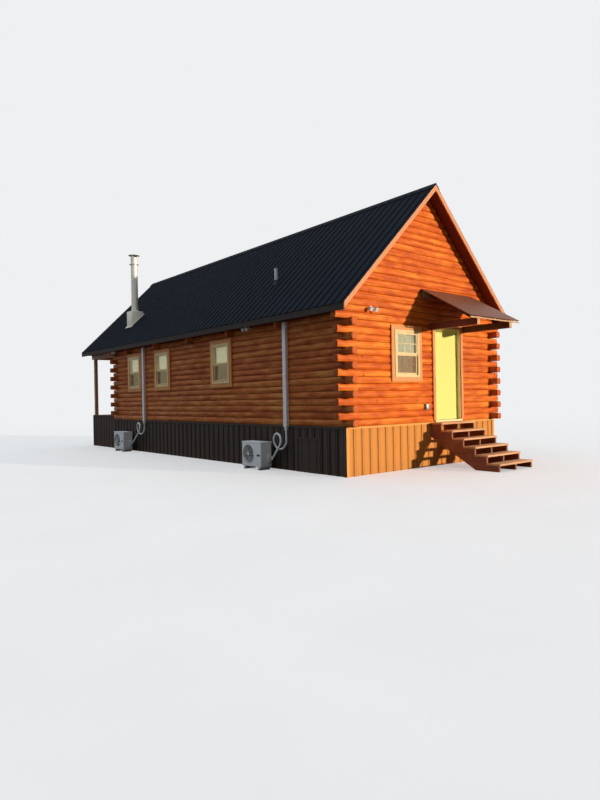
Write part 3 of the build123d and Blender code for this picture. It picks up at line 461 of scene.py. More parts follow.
# The ribs of roof, canopy and skirts get these dark bands of dirt and painted shade.
roof_paint = dress(painted_finish("roof_paint", srgb(31, 40, 51), 0.7, dust=0.03, gloss=0.04,
                                  ribs=(1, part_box("roof_sheets")[0].y + RIB_PITCH / 2, RIB_PITCH)),
                   "roof_sheets", "ridge_cap")
canopy_paint = dress(painted_finish("canopy_paint", srgb(134, 78, 50), 0.5, dust=0.06, gloss=0.25,
                                    ribs=(0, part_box("canopy_roof")[0].x + CANOPY_PITCH / 2, CANOPY_PITCH)),
                     "canopy_roof")
dress(skirt_finish("shaded_side_skirt_paint", ribs=(1, side_middle, RIB_PITCH)), "skirt_left", "skirt_right")
# The end skirt's orange is the skirt paint painted as sunlit: painted light.
dress(painted_finish("sunlit_end_skirt_paint", srgb(238, 150, 62), 0.6, splash=0.2, gloss=0.1,
                     ribs=(0, 0.0, RIB_PITCH), rib_dirt_and_shade=0.25), "skirt_door_end")
dress(skirt_finish("corner_trim", end_tone=SUNLIT_TRIM_TONE), "skirt_trim")
skirt_paint = dress(skirt_finish("skirt_paint"), "porch_skirt", "access_hatch")
dress(painted_finish("trim_paint", srgb(54, 44, 42), 0.6, gloss=0.08), "eave_fascia")
dress(painted_finish("rake_paint", srgb(234, 150, 92), 0.6, gloss=0.3), "rake_boards")
dress(painted_finish("door_paint", srgb(244, 234, 122), 0.5, dust=0.03, gloss=0.3), "entry_door")
unit_paint = dress(painted_finish("unit_paint", srgb(254, 250, 240), 0.5, dust=0.04, splash=0.1),
                   "outdoor_units", "fan_guards")

# %% [markdown]
# The door casings are stained boards and share a node with the painted jambs. Above the
# sill they alone stand in front of the log face, so two tests on the place find them.

# %% Door frames
SILL_RISE = 0.0385


def door_frame_finish(name, face, outward):
    """Door paint behind the log face and on the sill, stained casing board in front."""
    x, y, z = new_finish(name)
    grain = noise((x, y, z), (48.0, 1.0, 2.0), 6.0)
    board = ramp(grain, (0.36, srgb(214, 118, 46)), (0.70, srgb(242, 156, 74)))
    film = times(noise((x, y, z), 3.0), 0.12)
    paint = mixed(film, srgb(248, 232, 172), srgb(200, 180, 130))
    beyond = times(maths("SUBTRACT", y, face), outward)
    is_board = times(maths("GREATER_THAN", beyond, 0.0),
                     maths("GREATER_THAN", z, WALL_FOOT + SILL_RISE))
    return surface({"Base Color": mixed(is_board, paint, board), "Roughness": 0.5}, grain, 0.2, 0.002)


dress(door_frame_finish("entry_frame", FRONT_FACE, -1.0), "door_frame")
dress(door_frame_finish("porch_frame_paint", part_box("porch_end_wall")[1].y, 1.0), "porch_door")

# %% [markdown]
# ## Plastic, glass, stone and bare metal
# The last finishes are for the fittings. Plastic has a faint skin and a little dirt,
# galvanized metal has crystals that change its tone, and glass has dust and waves.

# %% Other finishes
PAINTED_GLOW_STRENGTH = 0.38


def moulded_finish(name, colour, roughness=0.45, grain=0.08, glow=None):
    """Moulded plastic or rubber with a faint orange-peel skin, a little handling dirt and perhaps a painted glow.
    """
    axes = new_finish(name)
    dirt = ramp(noise(axes, 5.0, 5.0), (0.45, 0), (0.75, 0.5))
    inputs = {"Base Color": mixed(dirt, colour, darker(colour, 0.72)), "Roughness": roughness}
    # A glow is painted light: an emission that stands in for light falling on the piece.
    if glow:
        inputs.update({"Emission Color": glow, "Emission Strength": PAINTED_GLOW_STRENGTH})
    return surface(inputs, noise(axes, 400.0, 2.0), grain, 0.0008)


def bare_metal_finish(name, colour, roughness=0.32, spangle=0.25, metallic=0.9):
    """Bare or galvanized metal: crystal spangles change its tone and its gloss."""
    axes = new_finish(name)
    cells = add("TexVoronoi", {"Vector": joined(*axes), "Scale": 60.0})
    tone = add("SeparateColor", {0: cells.outputs["Color"]}).outputs[0]
    smear = noise(axes, 4.0, 5.0)
    rough = maths("ADD", roughness - 0.1, times(smear, 0.25))
    colour = mixed(tone, colour, darker(colour, 1 - spangle))
    return surface({"Base Color": colour, "Metallic": metallic, "Roughness": rough}, smear, 0.1)


def glass_finish(name):
    """Window glass: a weak tint, faint dust, and waves too small to see but for reflections."""
    axes = new_finish(name)
    dust = ramp(noise(axes, 2.2, 6.0), (0.4, 0), (0.8, 0.4))
    tint = mixed(dust, srgb(232, 230, 216), srgb(206, 204, 190))
    return surface({"Base Color": tint, "Roughness": 0.03, "Transmission Weight": 0.9, "IOR": 1.2},
                   noise(axes, 1.4, 1.0), 0.05, 0.002)


def stone_finish(name):
    """Cast concrete, cloudy and rough."""
    axes = new_finish(name)
    clouds = ramp(noise(axes, 9.0, 8.0), (0.3, srgb(118, 114, 106)), (0.7, srgb(168, 164, 154)))
    return surface({"Base Color": clouds, "Roughness": 0.9}, noise(axes, 90.0, 6.0), 0.5)


vinyl = dress(moulded_finish("window_vinyl", srgb(242, 206, 138)), "window_frames")
duct_plastic = dress(moulded_finish("duct_plastic", srgb(250, 240, 230)), "line_ducts")
line_wrap = dress(moulded_finish("line_wrap", srgb(246, 244, 236), 0.6, 0.3), "refrigerant_lines")
lamp_plastic = dress(moulded_finish("lamp_plastic", srgb(236, 232, 222), 0.4), "flood_lights")
fan_plastic = dress(moulded_finish("fan_plastic", srgb(70, 72, 74)), "fan_near", "fan_far")
rubber = dress(moulded_finish("vent_rubber", srgb(46, 46, 48), 0.7, 0.4), "vent_pipe")
steel = dress(bare_metal_finish("chimney_steel", srgb(226, 220, 204), 0.5, 0.08, 0.45), "chimney")
hinge_metal = dress(bare_metal_finish("satin_nickel", srgb(186, 178, 164), 0.3, 0.05), "door_hinges", "door_knobs")
outlet_metal = dress(bare_metal_finish("cast_cover", srgb(150, 148, 144), 0.45, 0.1), "outlet_cover")
dress(glass_finish("window_glass"), "window_glass")
dress(stone_finish("pier_concrete"), "foundation_piers")

# %% [markdown]
# ## Blanks
# Most of a cabin is boards and logs of one section in many lengths. Each section is
# modelled once as a blank about a metre long, with its edges eased in edit mode. A copy
# of the blank is then stretched between two corners: only its ends, sides and top move
# out, so the eased edges keep their real size. The helpers come in two parts, and the
# first ones open a piece, cut it and extrude it.

# %% Helpers for edit mode
SMOOTH_BELOW = math.radians(30)


def fresh(kind, **settings):
    """Adds one primitive with nothing else selected, and returns it."""
    bpy.ops.object.select_all(action="DESELECT")
    getattr(bpy.ops.mesh, "primitive_" + kind + "_add")(**settings)
    return bpy.context.object


def select_only(*pieces):
    """Selects these pieces and nothing else, with the first one active."""
    bpy.ops.object.select_all(action="DESELECT")
    for piece in pieces:
        piece.select_set(True)
    bpy.context.view_layer.objects.active = pieces[0]


def apply_place(piece):
    """Puts the place, turn and size of a piece into its mesh."""
    select_only(piece)
    bpy.ops.object.transform_apply(location=True, rotation=True, scale=True)


def edit(piece):
    """Opens a piece in edit mode, with all of it selected."""
    select_only(piece)
    bpy.ops.object.mode_set(mode="EDIT")
    bpy.ops.mesh.select_all(action="SELECT")


def done():
    """Back to object mode."""
    bpy.ops.object.mode_set(mode="OBJECT")


def pick(kind, test):
    """In edit mode, selects only the faces or edges that pass a test."""
    bpy.ops.mesh.select_mode(type=kind)
    bpy.ops.mesh.select_all(action="DESELECT")
    data = bpy.context.object.data
    mesh = bmesh.from_edit_mesh(data)
    for part in mesh.faces if kind == "FACE" else mesh.edges:
        if test(part):
            part.select_set(True)
    bmesh.update_edit_mesh(data)


def extrude(x, y, z):
    """Extrudes what is selected by a step."""
    bpy.ops.mesh.extrude_region_move(TRANSFORM_OT_translate={"value": (x, y, z)})


def cut(point, normal, inner=False):
    """Cuts away what lies beyond a plane, or before it, and closes the cut."""
    bpy.ops.mesh.bisect(plane_co=point, plane_no=normal, use_fill=True, clear_outer=not inner, clear_inner=inner)


def face_outward():
    """Makes all the normals of an open piece point outward."""
    bpy.ops.mesh.select_all(action="SELECT")
    bpy.ops.mesh.normals_make_consistent(inside=False)


def board_blank(ease, segments=1):
    """A metre cube with its edges eased."""
    blank = fresh("cube", size=1)
    edit(blank)
    bpy.ops.mesh.bevel(offset=ease, segments=segments, affect="EDGES")
    done()
    return blank


def turned(profile, sides=32, closed=False):
    """A round piece on the Z axis: a circle extruded and resized from ring to ring of (radius, height).

    It starts as a full disc. A closed one is a hollow ring, whose profile ends where it starts.
    """
    radius, height = profile[0]
    fill_type = "NOTHING" if closed else "NGON"
    piece = fresh("circle", vertices=sides, radius=radius, fill_type=fill_type, location=(0, 0, height))
    apply_place(piece)
    edit(piece)
    for next_radius, next_height in profile[1:] + profile[:1] * closed:
        extrude(0, 0, next_height - height)
        share = next_radius / radius
        bpy.ops.transform.resize(value=(share, share, 1), center_override=(0, 0, next_height))
        radius, height = next_radius, next_height
    if closed:
        bpy.ops.mesh.select_all(action="SELECT")
        bpy.ops.mesh.remove_doubles(threshold=0.00001)
    face_outward()
    done()
    return piece


# %% [markdown]
# The others copy a blank to its place, and gather the copies into one finished piece.
# Where a node of the model is made of many solids, its mesh is read solid by solid.

# %% Helpers for copies


def copied(blank):
    """A copy of a blank with a mesh of its own."""
    copy = blank.copy()
    copy.data = blank.data.copy()
    bpy.context.scene.collection.objects.link(copy)
    return copy


def rotation(degrees, axis):
    """A turn about an axis."""
    return Matrix.Rotation(math.radians(degrees), 4, axis)


def stretched(blank, low, high, degrees=0):
    """A copy of a blank, turned about Z, with its halves moved out to fill a box."""
    copy = copied(blank)
    copy.data.transform(rotation(degrees, "Z"))
    points = [v.co for v in copy.data.vertices]
    for axis in range(3):
        own = max(p[axis] for p in points)
        grow = (high[axis] - low[axis]) / 2 - own
        centre = (high[axis] + low[axis]) / 2
        for p in points:
            shift = grow if p[axis] > 1e-5 else -grow if p[axis] < -1e-5 else 0
            p[axis] += centre + shift
    return copy


def block(blank, x, y, z):
    """A copy of a blank stretched over three spans."""
    return stretched(blank, *zip(x, y, z))


def placed(blank, place, turn=None):
    """A copy of a blank at a place, turned by a matrix first."""
    copy = copied(blank)
    copy.data.transform(Matrix.Translation(place) @ (turn or Matrix()))
    return copy


def gather(name, pieces, finish, body="cabin", hides=()):
    """Joins copies into one finished piece, which rides on a body and may hide a node."""
    select_only(*pieces)
    if len(pieces) > 1:
        bpy.ops.object.join()
    made = bpy.context.object
    apply_place(made)
    made.name = made.data.name = name
    made.data.materials.clear()
    made.data.materials.append(finish)
    bpy.ops.object.shade_smooth_by_angle(angle=SMOOTH_BELOW)
    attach(made, body)
    if hides:
        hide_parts(*hides)
    print(name, len(made.data.polygons), "faces")
    return made


def clear_blanks(*blanks):
    """Removes blanks that are used up."""
    for blank in blanks:
        bpy.data.objects.remove(blank)


def solids(name):
    """The low and high corners of each separate solid of a node."""
    mesh = bmesh.new()
    mesh.from_mesh(nodes[name].data)
    bmesh.ops.remove_doubles(mesh, verts=mesh.verts, dist=1e-5)
    left = set(mesh.verts)
    boxes = []
    for vert in mesh.verts:
        if vert not in left:
            continue
        left.remove(vert)
        group = [vert]
        for member in group:
            others = {edge.other_vert(member) for edge in member.link_edges} & left
            left -= others
            group += others
        boxes.append([Vector([end(v.co[k] for v in group) for k in range(3)]) for end in (min, max)])
    mesh.free()
    return boxes


def near_first(name):
    """The solids of a node, in their order along the cabin."""
    return sorted(solids(name), key=lambda box: box[0].y)


def middle(low, high, z=None):
    """The middle of a box, at another height if one is given."""
    point = (low + high) / 2
    return point if z is None else Vector((point.x, point.y, z))


def outward_of(low, high):
    """For an upright flat piece: the axis along it, the axis out of the cabin, and the sign of outward."""
    along = 0 if high.x - low.x > high.y - low.y else 1
    out = 1 - along
    return along, out, -1 if (low[out] + high[out]) / 2 < CABIN_MIDDLE[out] else 1


# %% [markdown]
# ## Log walls
# Each log is milled to a D: two flat beds, a flat back and a crowned weather face. The
# blank is a slice of a cylinder: bisect keeps the crown, the cut face is extruded
# backwards, and a bevel eases the ends and the arrises. The places and lengths of the
# logs are read from the model's own walls.

# %% Log blank
LOG_DEPTH = 0.140
LOG_RISE = 0.1396
LOG_CROWN = 0.024
END_EASE = 0.006
ARRIS_EASE = 0.004


def log_blank():
    """A log a metre long about the origin, its crown towards -Y."""
    half = LOG_RISE / 2
    radius = (half ** 2 + LOG_CROWN ** 2) / (2 * LOG_CROWN)
    blank = fresh("cylinder", radius=radius, depth=1, vertices=112, rotation=(0, math.pi / 2, 0),
                  location=(0, radius - LOG_DEPTH / 2, 0))
    apply_place(blank)
    shoulder = LOG_CROWN - LOG_DEPTH / 2
    edit(blank)
    cut((0, shoulder, 0), (0, 1, 0))
    pick("FACE", lambda face: face.normal.y > 0.9)
    extrude(0, LOG_DEPTH / 2 - shoulder, 0)
    face_outward()
    pick("EDGE", lambda edge: all(abs(v.co.x) > 0.499 for v in edge.verts))
    bpy.ops.mesh.bevel(offset=END_EASE, segments=2, affect="EDGES")
    pick("EDGE", lambda edge: all(abs(v.co.z) > half - 0.002 and abs(v.co.y - shoulder) < 0.001
                                  for v in edge.verts))
    bpy.ops.mesh.bevel(offset=ARRIS_EASE, segments=2, affect="EDGES")
    done()
    return blank


blank_log = log_blank()
print("log blank", len(blank_log.data.polygons), "faces, box", [round(v, 4) for v in blank_log.dimensions])

# %% [markdown]
# The four walls take their logs one by one. The part of the wall over the door and its
# two parts beside the doorway are nodes of their own in the model, and stay apart here.

# %% Walls of logs
# Each wall takes the log finish with the painted sunlit or painted shaded tone of its side.
WALLS = (
    ("left_wall", -90, logs_along_y), ("right_wall", 90, logs_along_y),
    ("door_end_wall_left", 0, logs_along_x), ("door_end_wall_right", 0, logs_along_x),
    ("door_end_wall_top", 0, logs_along_x), ("porch_end_wall", 180, logs_in_shade),
)
for node, degrees, finish in WALLS:
    logs = [stretched(blank_log, low, high, degrees) for low, high in solids(node)]
    gather(node + "_logs", logs, finish, hides=[node])

# %% [markdown]
# The gables are the same logs, cut to the slope of the roof. All the courses are laid
# to the full width first, and then bisect cuts the whole stack along both slopes.

# %% Gables
low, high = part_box("gables")
stack = []
for face, degrees in ((low.y, 0), (high.y - LOG_DEPTH, 180)):
    for row in range(math.ceil((high.z - low.z) / COURSE)):
        z = low.z + row * COURSE
        stack.append(stretched(blank_log, (low.x, face, z), (high.x, face + LOG_DEPTH, z + LOG_RISE), degrees))
gables = gather("gable_logs", stack, logs_along_x, hides=["gables"])
for side in (-1, 1):
    edit(gables)
    cut((0, 0, high.z), (side * math.sin(ROOF_ANGLE), 0, math.cos(ROOF_ANGLE)))
    done()
bpy.ops.object.shade_smooth_by_angle(angle=SMOOTH_BELOW)
clear_blanks(blank_log)

# %% [markdown]
# ## Windows
# Each sash of the end windows is split into six lites by flat bars. Behind the glass of
# every window hangs a closed slatted blind, and the lower sash has an insect screen in
# front of it. The slats have a faint painted glow that stands in for daylight in the rooms behind.

# %% Bars, blinds and screens
BAR_HALF = 0.009
BAR_JOINT = 0.0002
BAR_OUT = (0.0004, 0.0084)
SLAT_OUT = (-0.085, -0.082)
SLAT_PITCH, SLAT_RISE = 0.025, 0.0235
FRAME_OUT = (0.026, 0.034)
FRAME_WIDTH = 0.022
MESH_OUT = (0.0285, 0.0315)
UPPER_SASHES = 2.2
THREADS = 4200.0

# The slats glow as painted light, for the daylight in the rooms behind.
blind_finish = moulded_finish("blind_slats", srgb(236, 236, 206), 0.6, glow=srgb(238, 240, 206))
x, y, z = new_finish("insect_screen")
threads = [maths("SINE", times(axis, THREADS)) for axis in (z, maths("ADD", x, y))]
weave = ramp(maths("ADD", *threads), (0.2, srgb(140, 98, 62)), (0.9, srgb(186, 138, 92)))
screen_finish = surface({"Base Color": weave, "Roughness": 0.7, "Alpha": 0.42})
blank_board = board_blank(0.0015)


def on_pane(pane, across, out, up):
    """A board over spans along a pane, out from its outer face, and up."""
    low, high = pane
    along, axis, sign = outward_of(low, high)
    face = low[axis] if sign < 0 else high[axis]
    first, last = Vector(), Vector()
    first[along], last[along] = across
    first[axis], last[axis] = sorted(face + sign * depth for depth in out)
    first.z, last.z = up
    return stretched(blank_board, first, last)


bars, slats, frames, meshes = [], [], [], []
for pane in solids("window_glass"):
    low, high = pane
    along = outward_of(low, high)[0]
    start, end, foot, top = low[along], high[along], low.z, high.z
    if along == 0:
        third, half_way = (end - start) / 3, (foot + top) / 2
        for k in range(3):
            first = start + third * k + (BAR_HALF + BAR_JOINT if k > 0 else 0)
            last = start + third * (k + 1) - (BAR_HALF + BAR_JOINT if k < 2 else 0)
            bars.append(on_pane(pane, (first, last), BAR_OUT, (half_way - BAR_HALF, half_way + BAR_HALF)))
        for x in (start + third, start + third * 2):
            bars.append(on_pane(pane, (x - BAR_HALF, x + BAR_HALF), BAR_OUT, (foot, top)))
    z = foot - 0.02
    while z < top + 0.02:
        slats.append(on_pane(pane, (start - 0.03, end + 0.03), SLAT_OUT, (z, z + SLAT_RISE)))
        z += SLAT_PITCH
    if foot < UPPER_SASHES:
        left, right, foot, top = start - 0.018, end + 0.018, foot - 0.018, top + 0.001
        inner = (foot + FRAME_WIDTH, top - FRAME_WIDTH)
        for across, up in (((left, right), (foot, inner[0])), ((left, right), (inner[1], top)),
                           ((left, left + FRAME_WIDTH), inner), ((right - FRAME_WIDTH, right), inner)):
            frames.append(on_pane(pane, across, FRAME_OUT, up))
        meshes.append(on_pane(pane, (left + FRAME_WIDTH, right - FRAME_WIDTH), MESH_OUT, inner))
gather("window_bars", bars, vinyl)
gather("blind_slats", slats, blind_finish)
gather("screen_frames", frames, vinyl)
gather("screen_mesh", meshes, screen_finish)

# %% [markdown]
# ## Steps and porch floor
# Each tread is two boards side by side with a gap for the rain. The porch floor is laid
# of boards across the cabin.

# %% Boards of the steps and the porch
BOARD_GAP = 0.006
PORCH_BOARDS = 16
blank_wood = board_blank(0.004, 2)
boards = []
for low, high in solids("stair_treads"):
    gap_at = (low.y + high.y) / 2
    boards.append(stretched(blank_wood, low, (high.x, gap_at - BOARD_GAP / 2, high.z)))
    boards.append(stretched(blank_wood, (low.x, gap_at + BOARD_GAP / 2, low.z), high))
gather("tread_boards", boards, steps_finish, hides=["stair_treads"])

low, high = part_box("porch_deck")
pitch = (high.y - low.y + BOARD_GAP) / PORCH_BOARDS
starts = [low.y + pitch * k for k in range(PORCH_BOARDS)]
boards = [block(blank_wood, (low.x, high.x), (y, y + pitch - BOARD_GAP), (low.z, high.z)) for y in starts]
gather("porch_boards", boards, deck_finish, hides=["porch_deck"])

# %% [markdown]
# ## Beads and screws
# Between its ribs a roof sheet has low beads that stiffen it. Hex-head screws with a
# washer hold every sheet. One bead and one screw are modelled, then copied to all their
# places: on a slope of the roof, on the canopy, or on an upright skirt panel. Pairs of
# flat wood screws hold the treads over every stringer.

# %% Beads and screws of the roof
BEAD_RISE = 0.0035
BEAD_FOOT = -0.003
BEAD_PLACES = (0.34, 0.66)
SHEET_MARGIN = 0.03
SCREWS_DOWN = 7
TOP_SCREW, LOW_SCREW = 0.16, 0.08
CAP_SCREW, CAP_SCREW_LIFT = 0.085, 0.0196
roof_low, roof_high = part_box("roof_sheets")
slope_length = (roof_high.x - 0.012) / math.cos(ROOF_ANGLE)
screw = turned([(0.0075, 0), (0.0072, 0.0012), (0.0042, 0.0014), (0.0040, 0.0050)], sides=6)


def on_slope(piece, side, along, down, lift=0.0):
    """A copy of a piece on one slope of the roof, some way along it and down from the ridge."""
    tilt = Matrix.Rotation(side * ROOF_ANGLE, 4, "Y")
    return placed(piece, Vector((0, along, RIDGE)) + tilt @ Vector((side * down, 0, lift)), tilt)


bead_half = (slope_length - 0.16) / 2
bead = block(blank_board, (-bead_half, bead_half), (-0.012, 0.012), (BEAD_FOOT, BEAD_RISE))
beads, heads = [], []
for side in (-1, 1):
    along = roof_low.y + RIB_PITCH / 2
    while along < roof_high.y - SHEET_MARGIN:
        for k in range(SCREWS_DOWN):
            down = TOP_SCREW + (slope_length - TOP_SCREW - LOW_SCREW) * k / (SCREWS_DOWN - 1)
            heads.append(on_slope(screw, side, along, down, RIB_RISE))
        heads.append(on_slope(screw, side, along, CAP_SCREW, CAP_SCREW_LIFT))
        for part in BEAD_PLACES:
            if along + RIB_PITCH * part < roof_high.y - SHEET_MARGIN:
                beads.append(on_slope(bead, side, along + RIB_PITCH * part, slope_length / 2 + 0.05))
        along += RIB_PITCH
clear_blanks(bead)
gather("roof_screws", heads, roof_paint)
gather("roof_beads", beads, roof_paint)

# %% Beads and screws of the canopy
CANOPY_FACE = -0.012
canopy_low, canopy_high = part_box("canopy_roof")
canopy_top = max(nodes["canopy_roof"].data.polygons, key=lambda face: face.area * face.normal.z)
canopy_tilt = Matrix.Rotation(math.acos(canopy_top.normal.z), 4, "X")
canopy_run = (canopy_high.y - canopy_low.y) / canopy_top.normal.z


def on_canopy(piece, x, down):
    """A copy of a piece on the canopy, at some place across and down from its back edge."""
    back = Vector((0, canopy_high.y, canopy_high.z))
    return placed(piece, back + canopy_tilt @ Vector((x, -down, CANOPY_FACE)), canopy_tilt)


bead_half = canopy_run / 2 - 0.01
bead = block(blank_board, (-0.010, 0.010), (-bead_half, bead_half), (BEAD_FOOT, BEAD_RISE))
places = [canopy_low.x + CANOPY_PITCH * k for k in range(1, 12)]
beads = [on_canopy(bead, x, canopy_run / 2) for x in places]
heads = [on_canopy(screw, x - 0.04, down) for x in places for down in (0.10, 0.60, canopy_run - 0.12)]
gather("canopy_beads", beads, canopy_paint)
gather("canopy_screws", heads, canopy_paint)
clear_blanks(bead)

# %% Screws of the skirt and the treads
heads = []
for node in ("skirt_left", "skirt_right", "skirt_door_end", "porch_skirt"):
    for low, high in solids(node):
        along, out, sign = outward_of(low, high)
        turn = rotation(-90 * sign, "X") if out == 1 else rotation(90 * sign, "Y")
        reach = int((high[along] - low[along]) / 2 / RIB_PITCH)
        for k in range(-reach, reach + 1):
            for z in (low.z + 0.11, (low.z + high.z) / 2, high.z - 0.10):
                place = Vector((0, 0, z))
                place[along] = min(middle(low, high)[along] + k * RIB_PITCH + 0.04, high[along] - 0.04)
                place[out] = low[out] + RIB_RISE if sign < 0 else high[out] - RIB_RISE
                heads.append(placed(screw, place, turn))
gather("skirt_screws", heads, skirt_paint)

wood_screw = turned([(0.0045, 0), (0.0045, 0.0004), (0.0012, 0.0006)], sides=8)
heads = []
for low, high in solids("stair_treads"):
    for stringer in solids("stair_stringers"):
        x = middle(*stringer).x
        for part in (0.14, 0.40, 0.60, 0.86):
            heads.append(placed(wood_screw, Vector((x, low.y + (high.y - low.y) * part, high.z))))
gather("tread_screws", heads, hinge_metal)
clear_blanks(screw, wood_screw)

# %% [markdown]
# ## Chimney and vent
# The flue stands on a box that is cut to the slope, over a flat flange. Each turned part
# is a disc, extruded and resized from ring to ring: the collar, the pipe with its band
# seams, the storm shield, and the rain cap, which stands clear of the pipe on four straps.

# %% Chimney
PIPE = 0.1095
BAND = 0.1130
BAND_PITCH = 0.46
support_box, (flue_low, flue_high) = sorted(solids("chimney"), key=lambda box: box[1].z)
flue_place = middle(flue_low, flue_high, 0)
foot, top = flue_low.z, flue_high.z
blank_sheet = board_blank(0.004, 2)
support = stretched(blank_sheet, *support_box)
edit(support)
cut((0, 0, RIDGE + (RIB_RISE + 0.0008) / math.cos(ROOF_ANGLE)),
    (-math.sin(ROOF_ANGLE), 0, math.cos(ROOF_ANGLE)), inner=True)
done()
flange = block(blank_board, (-0.34, 0.34), (-0.25, 0.25), (RIB_RISE + 0.0004, RIB_RISE + 0.0044))
shield = top - 0.320
profile = [(0.1495, foot), (0.1495, foot + 0.010), (0.135, foot + 0.030), (0.1105, foot + 0.040)]
z = foot + 0.30
while z < shield - 0.1:
    profile += [(PIPE, z - 0.013), (BAND, z - 0.010), (BAND, z + 0.010), (PIPE, z + 0.013)]
    z += BAND_PITCH
profile += [(PIPE, shield), (0.1545, shield), (0.1545, shield + 0.004), (0.114, shield + 0.020),
            (PIPE, shield + 0.022), (PIPE, top - 0.085), (0.100, top - 0.085), (0.100, top - 0.14)]
flue = turned(profile, sides=40)
cap = turned([(0.180, top - 0.020), (0.185, top - 0.018), (0.185, top - 0.014), (0.06, top - 0.003),
              (0.02, top)], sides=40)
strap = block(blank_board, (PIPE, PIPE + 0.004), (-0.012, 0.012), (top - 0.13, top - 0.016))
pieces = [placed(flue, flue_place), placed(cap, flue_place)]
pieces += [placed(strap, flue_place, rotation(90 * k + 45, "Z")) for k in range(4)]
pieces += [support, on_slope(flange, -1, flue_place.y, -flue_place.x / math.cos(ROOF_ANGLE))]
gather("chimney_flue", pieces, steel, hides=["chimney"])
clear_blanks(flange, flue, cap, strap)

# %% Vent
VENT_X = -1.818
low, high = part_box("vent_pipe")
vent_place = Vector((VENT_X, (low.y + high.y) / 2, 0))
foot, top = RIDGE + VENT_X * math.tan(ROOF_ANGLE), high.z
pipe = turned([(0.042, foot), (0.042, top - 0.012), (0.045, top - 0.010), (0.045, top), (0.037, top),
               (0.037, top - 0.08)], sides=24)
boot = turned([(0.066, foot - 0.06), (0.060, foot + 0.012), (0.052, foot + 0.04), (0.048, foot + 0.07),
               (0.0425, foot + 0.076)], sides=24)
gather("vent_stack", [placed(pipe, vent_place)], lamp_plastic, hides=["vent_pipe"])
gather("vent_boot", [placed(boot, vent_place)], rubber)
clear_blanks(pipe, boot)

# %% [markdown]
# ## Refrigerant lines and their ducts
# An insulated pipe leaves the foot of each wall duct, goes once round in a loop and then
# runs to the side of its unit. It is one circle, extruded and turned a few degrees at a
# time. Near the unit it splits into two thin lines with flare nuts.

# %% Lines and ducts
LINE_RADIUS = 0.022
LOOP_RADIUS = 0.170
LOOP_STEPS = 32
LOOP_HEIGHTS = (0.62, 0.72)
LINE_END_X, LINE_END_Z = -2.730, 0.24
VALVES = ((-2.740, 0.285), (-2.715, 0.200))


def tube(radius, start, end, sides=10):
    """A straight rod with eased ends between two points."""
    axis = end - start
    rod = turned([(radius * 0.8, 0), (radius, radius * 0.2), (radius, axis.length - radius * 0.2),
                  (radius * 0.8, axis.length)], sides)
    made = placed(rod, start, axis.to_track_quat("Z", "Y").to_matrix().to_4x4())
    clear_blanks(rod)
    return made


def looped_pipe(start, centre_z, target):
    """Pipe down from a duct, once round a loop that drifts off the wall, then straight to a point."""
    lean = 0.0
    for _ in range(20):
        y = start.y + LOOP_RADIUS - LOOP_RADIUS * math.cos(lean)
        z = centre_z - LOOP_RADIUS * math.sin(lean)
        lean = math.atan2(target.y - y, z - target.z)
    pipe = fresh("circle", vertices=12, radius=LINE_RADIUS, fill_type="NGON", location=start)
    apply_place(pipe)
    edit(pipe)
    extrude(0, 0, centre_z - start.z)
    for _ in range(LOOP_STEPS):
        extrude((target.x - start.x) / LOOP_STEPS, 0, 0)
        bpy.ops.transform.rotate(value=-(2 * math.pi + lean) / LOOP_STEPS, orient_axis="X",
                                 center_override=(start.x, start.y + LOOP_RADIUS, centre_z))
    extrude(0, target.y - y, target.z - z)
    face_outward()
    done()
    return pipe


lines, covers, fittings = [], [], []
units = near_first("outdoor_units")
for (low, high), unit, centre_z in zip(near_first("line_ducts"), units, LOOP_HEIGHTS):
    target = Vector((LINE_END_X, unit[0].y - 0.10, LINE_END_Z))
    lines.append(looped_pipe(middle(low, high, low.z), centre_z, target))
    for x, z in VALVES:
        elbow = Vector((x, unit[0].y - 0.035, z))
        lines.append(tube(0.010, target + Vector((0, -0.01, (z - LINE_END_Z) * 0.25)), elbow))
        fittings.append(tube(0.016, elbow + Vector((0, -0.008, 0)), elbow + Vector((0, 0.030, 0)), 6))
    for up, grow in (((high.z - 0.10, high.z - 0.001), 0.004), ((2.02, 2.08), 0.003),
                     ((low.z + 0.001, low.z + 0.06), 0.003)):
        covers.append(block(blank_sheet, (low.x - grow, high.x), (low.y - grow, high.y + grow), up))
    covers.append(block(blank_sheet, (low.x + 0.010, high.x - 0.004), (low.y + 0.020, high.y - 0.020),
                        (low.z - 0.07, low.z + 0.01)))
gather("insulated_lines", lines, line_wrap, hides=["refrigerant_lines"])
gather("duct_covers", covers, duct_plastic)
gather("flare_nuts", fittings, hinge_metal)

# %% [markdown]
# ## Outdoor units
# The guard is a set of wire rings: a small hexagon is drawn as a ring of faces by
# extruding and resizing a circle round its profile. Eight spokes and a hub hold them.

# %% Fan guards
RINGS = 10
SPOKES = 8
guard_low, guard_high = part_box("fan_guards")
FACE_X = units[0][0].x
FAN_Z = guard_low.z + (guard_high.z - guard_low.z) / 2
face_turn = rotation(-90, "Y")
fan_centres = [Vector((FACE_X, middle(*guard).y, FAN_Z)) for guard in near_first("fan_guards")]


def wire_ring(radius, thick, height, sides):
    """A wire bent to a ring."""
    corners = [math.tau * k / 6 for k in range(6)]
    profile = [(radius + thick * math.cos(a), height + thick * math.sin(a)) for a in corners]
    return turned(profile, sides, closed=True)


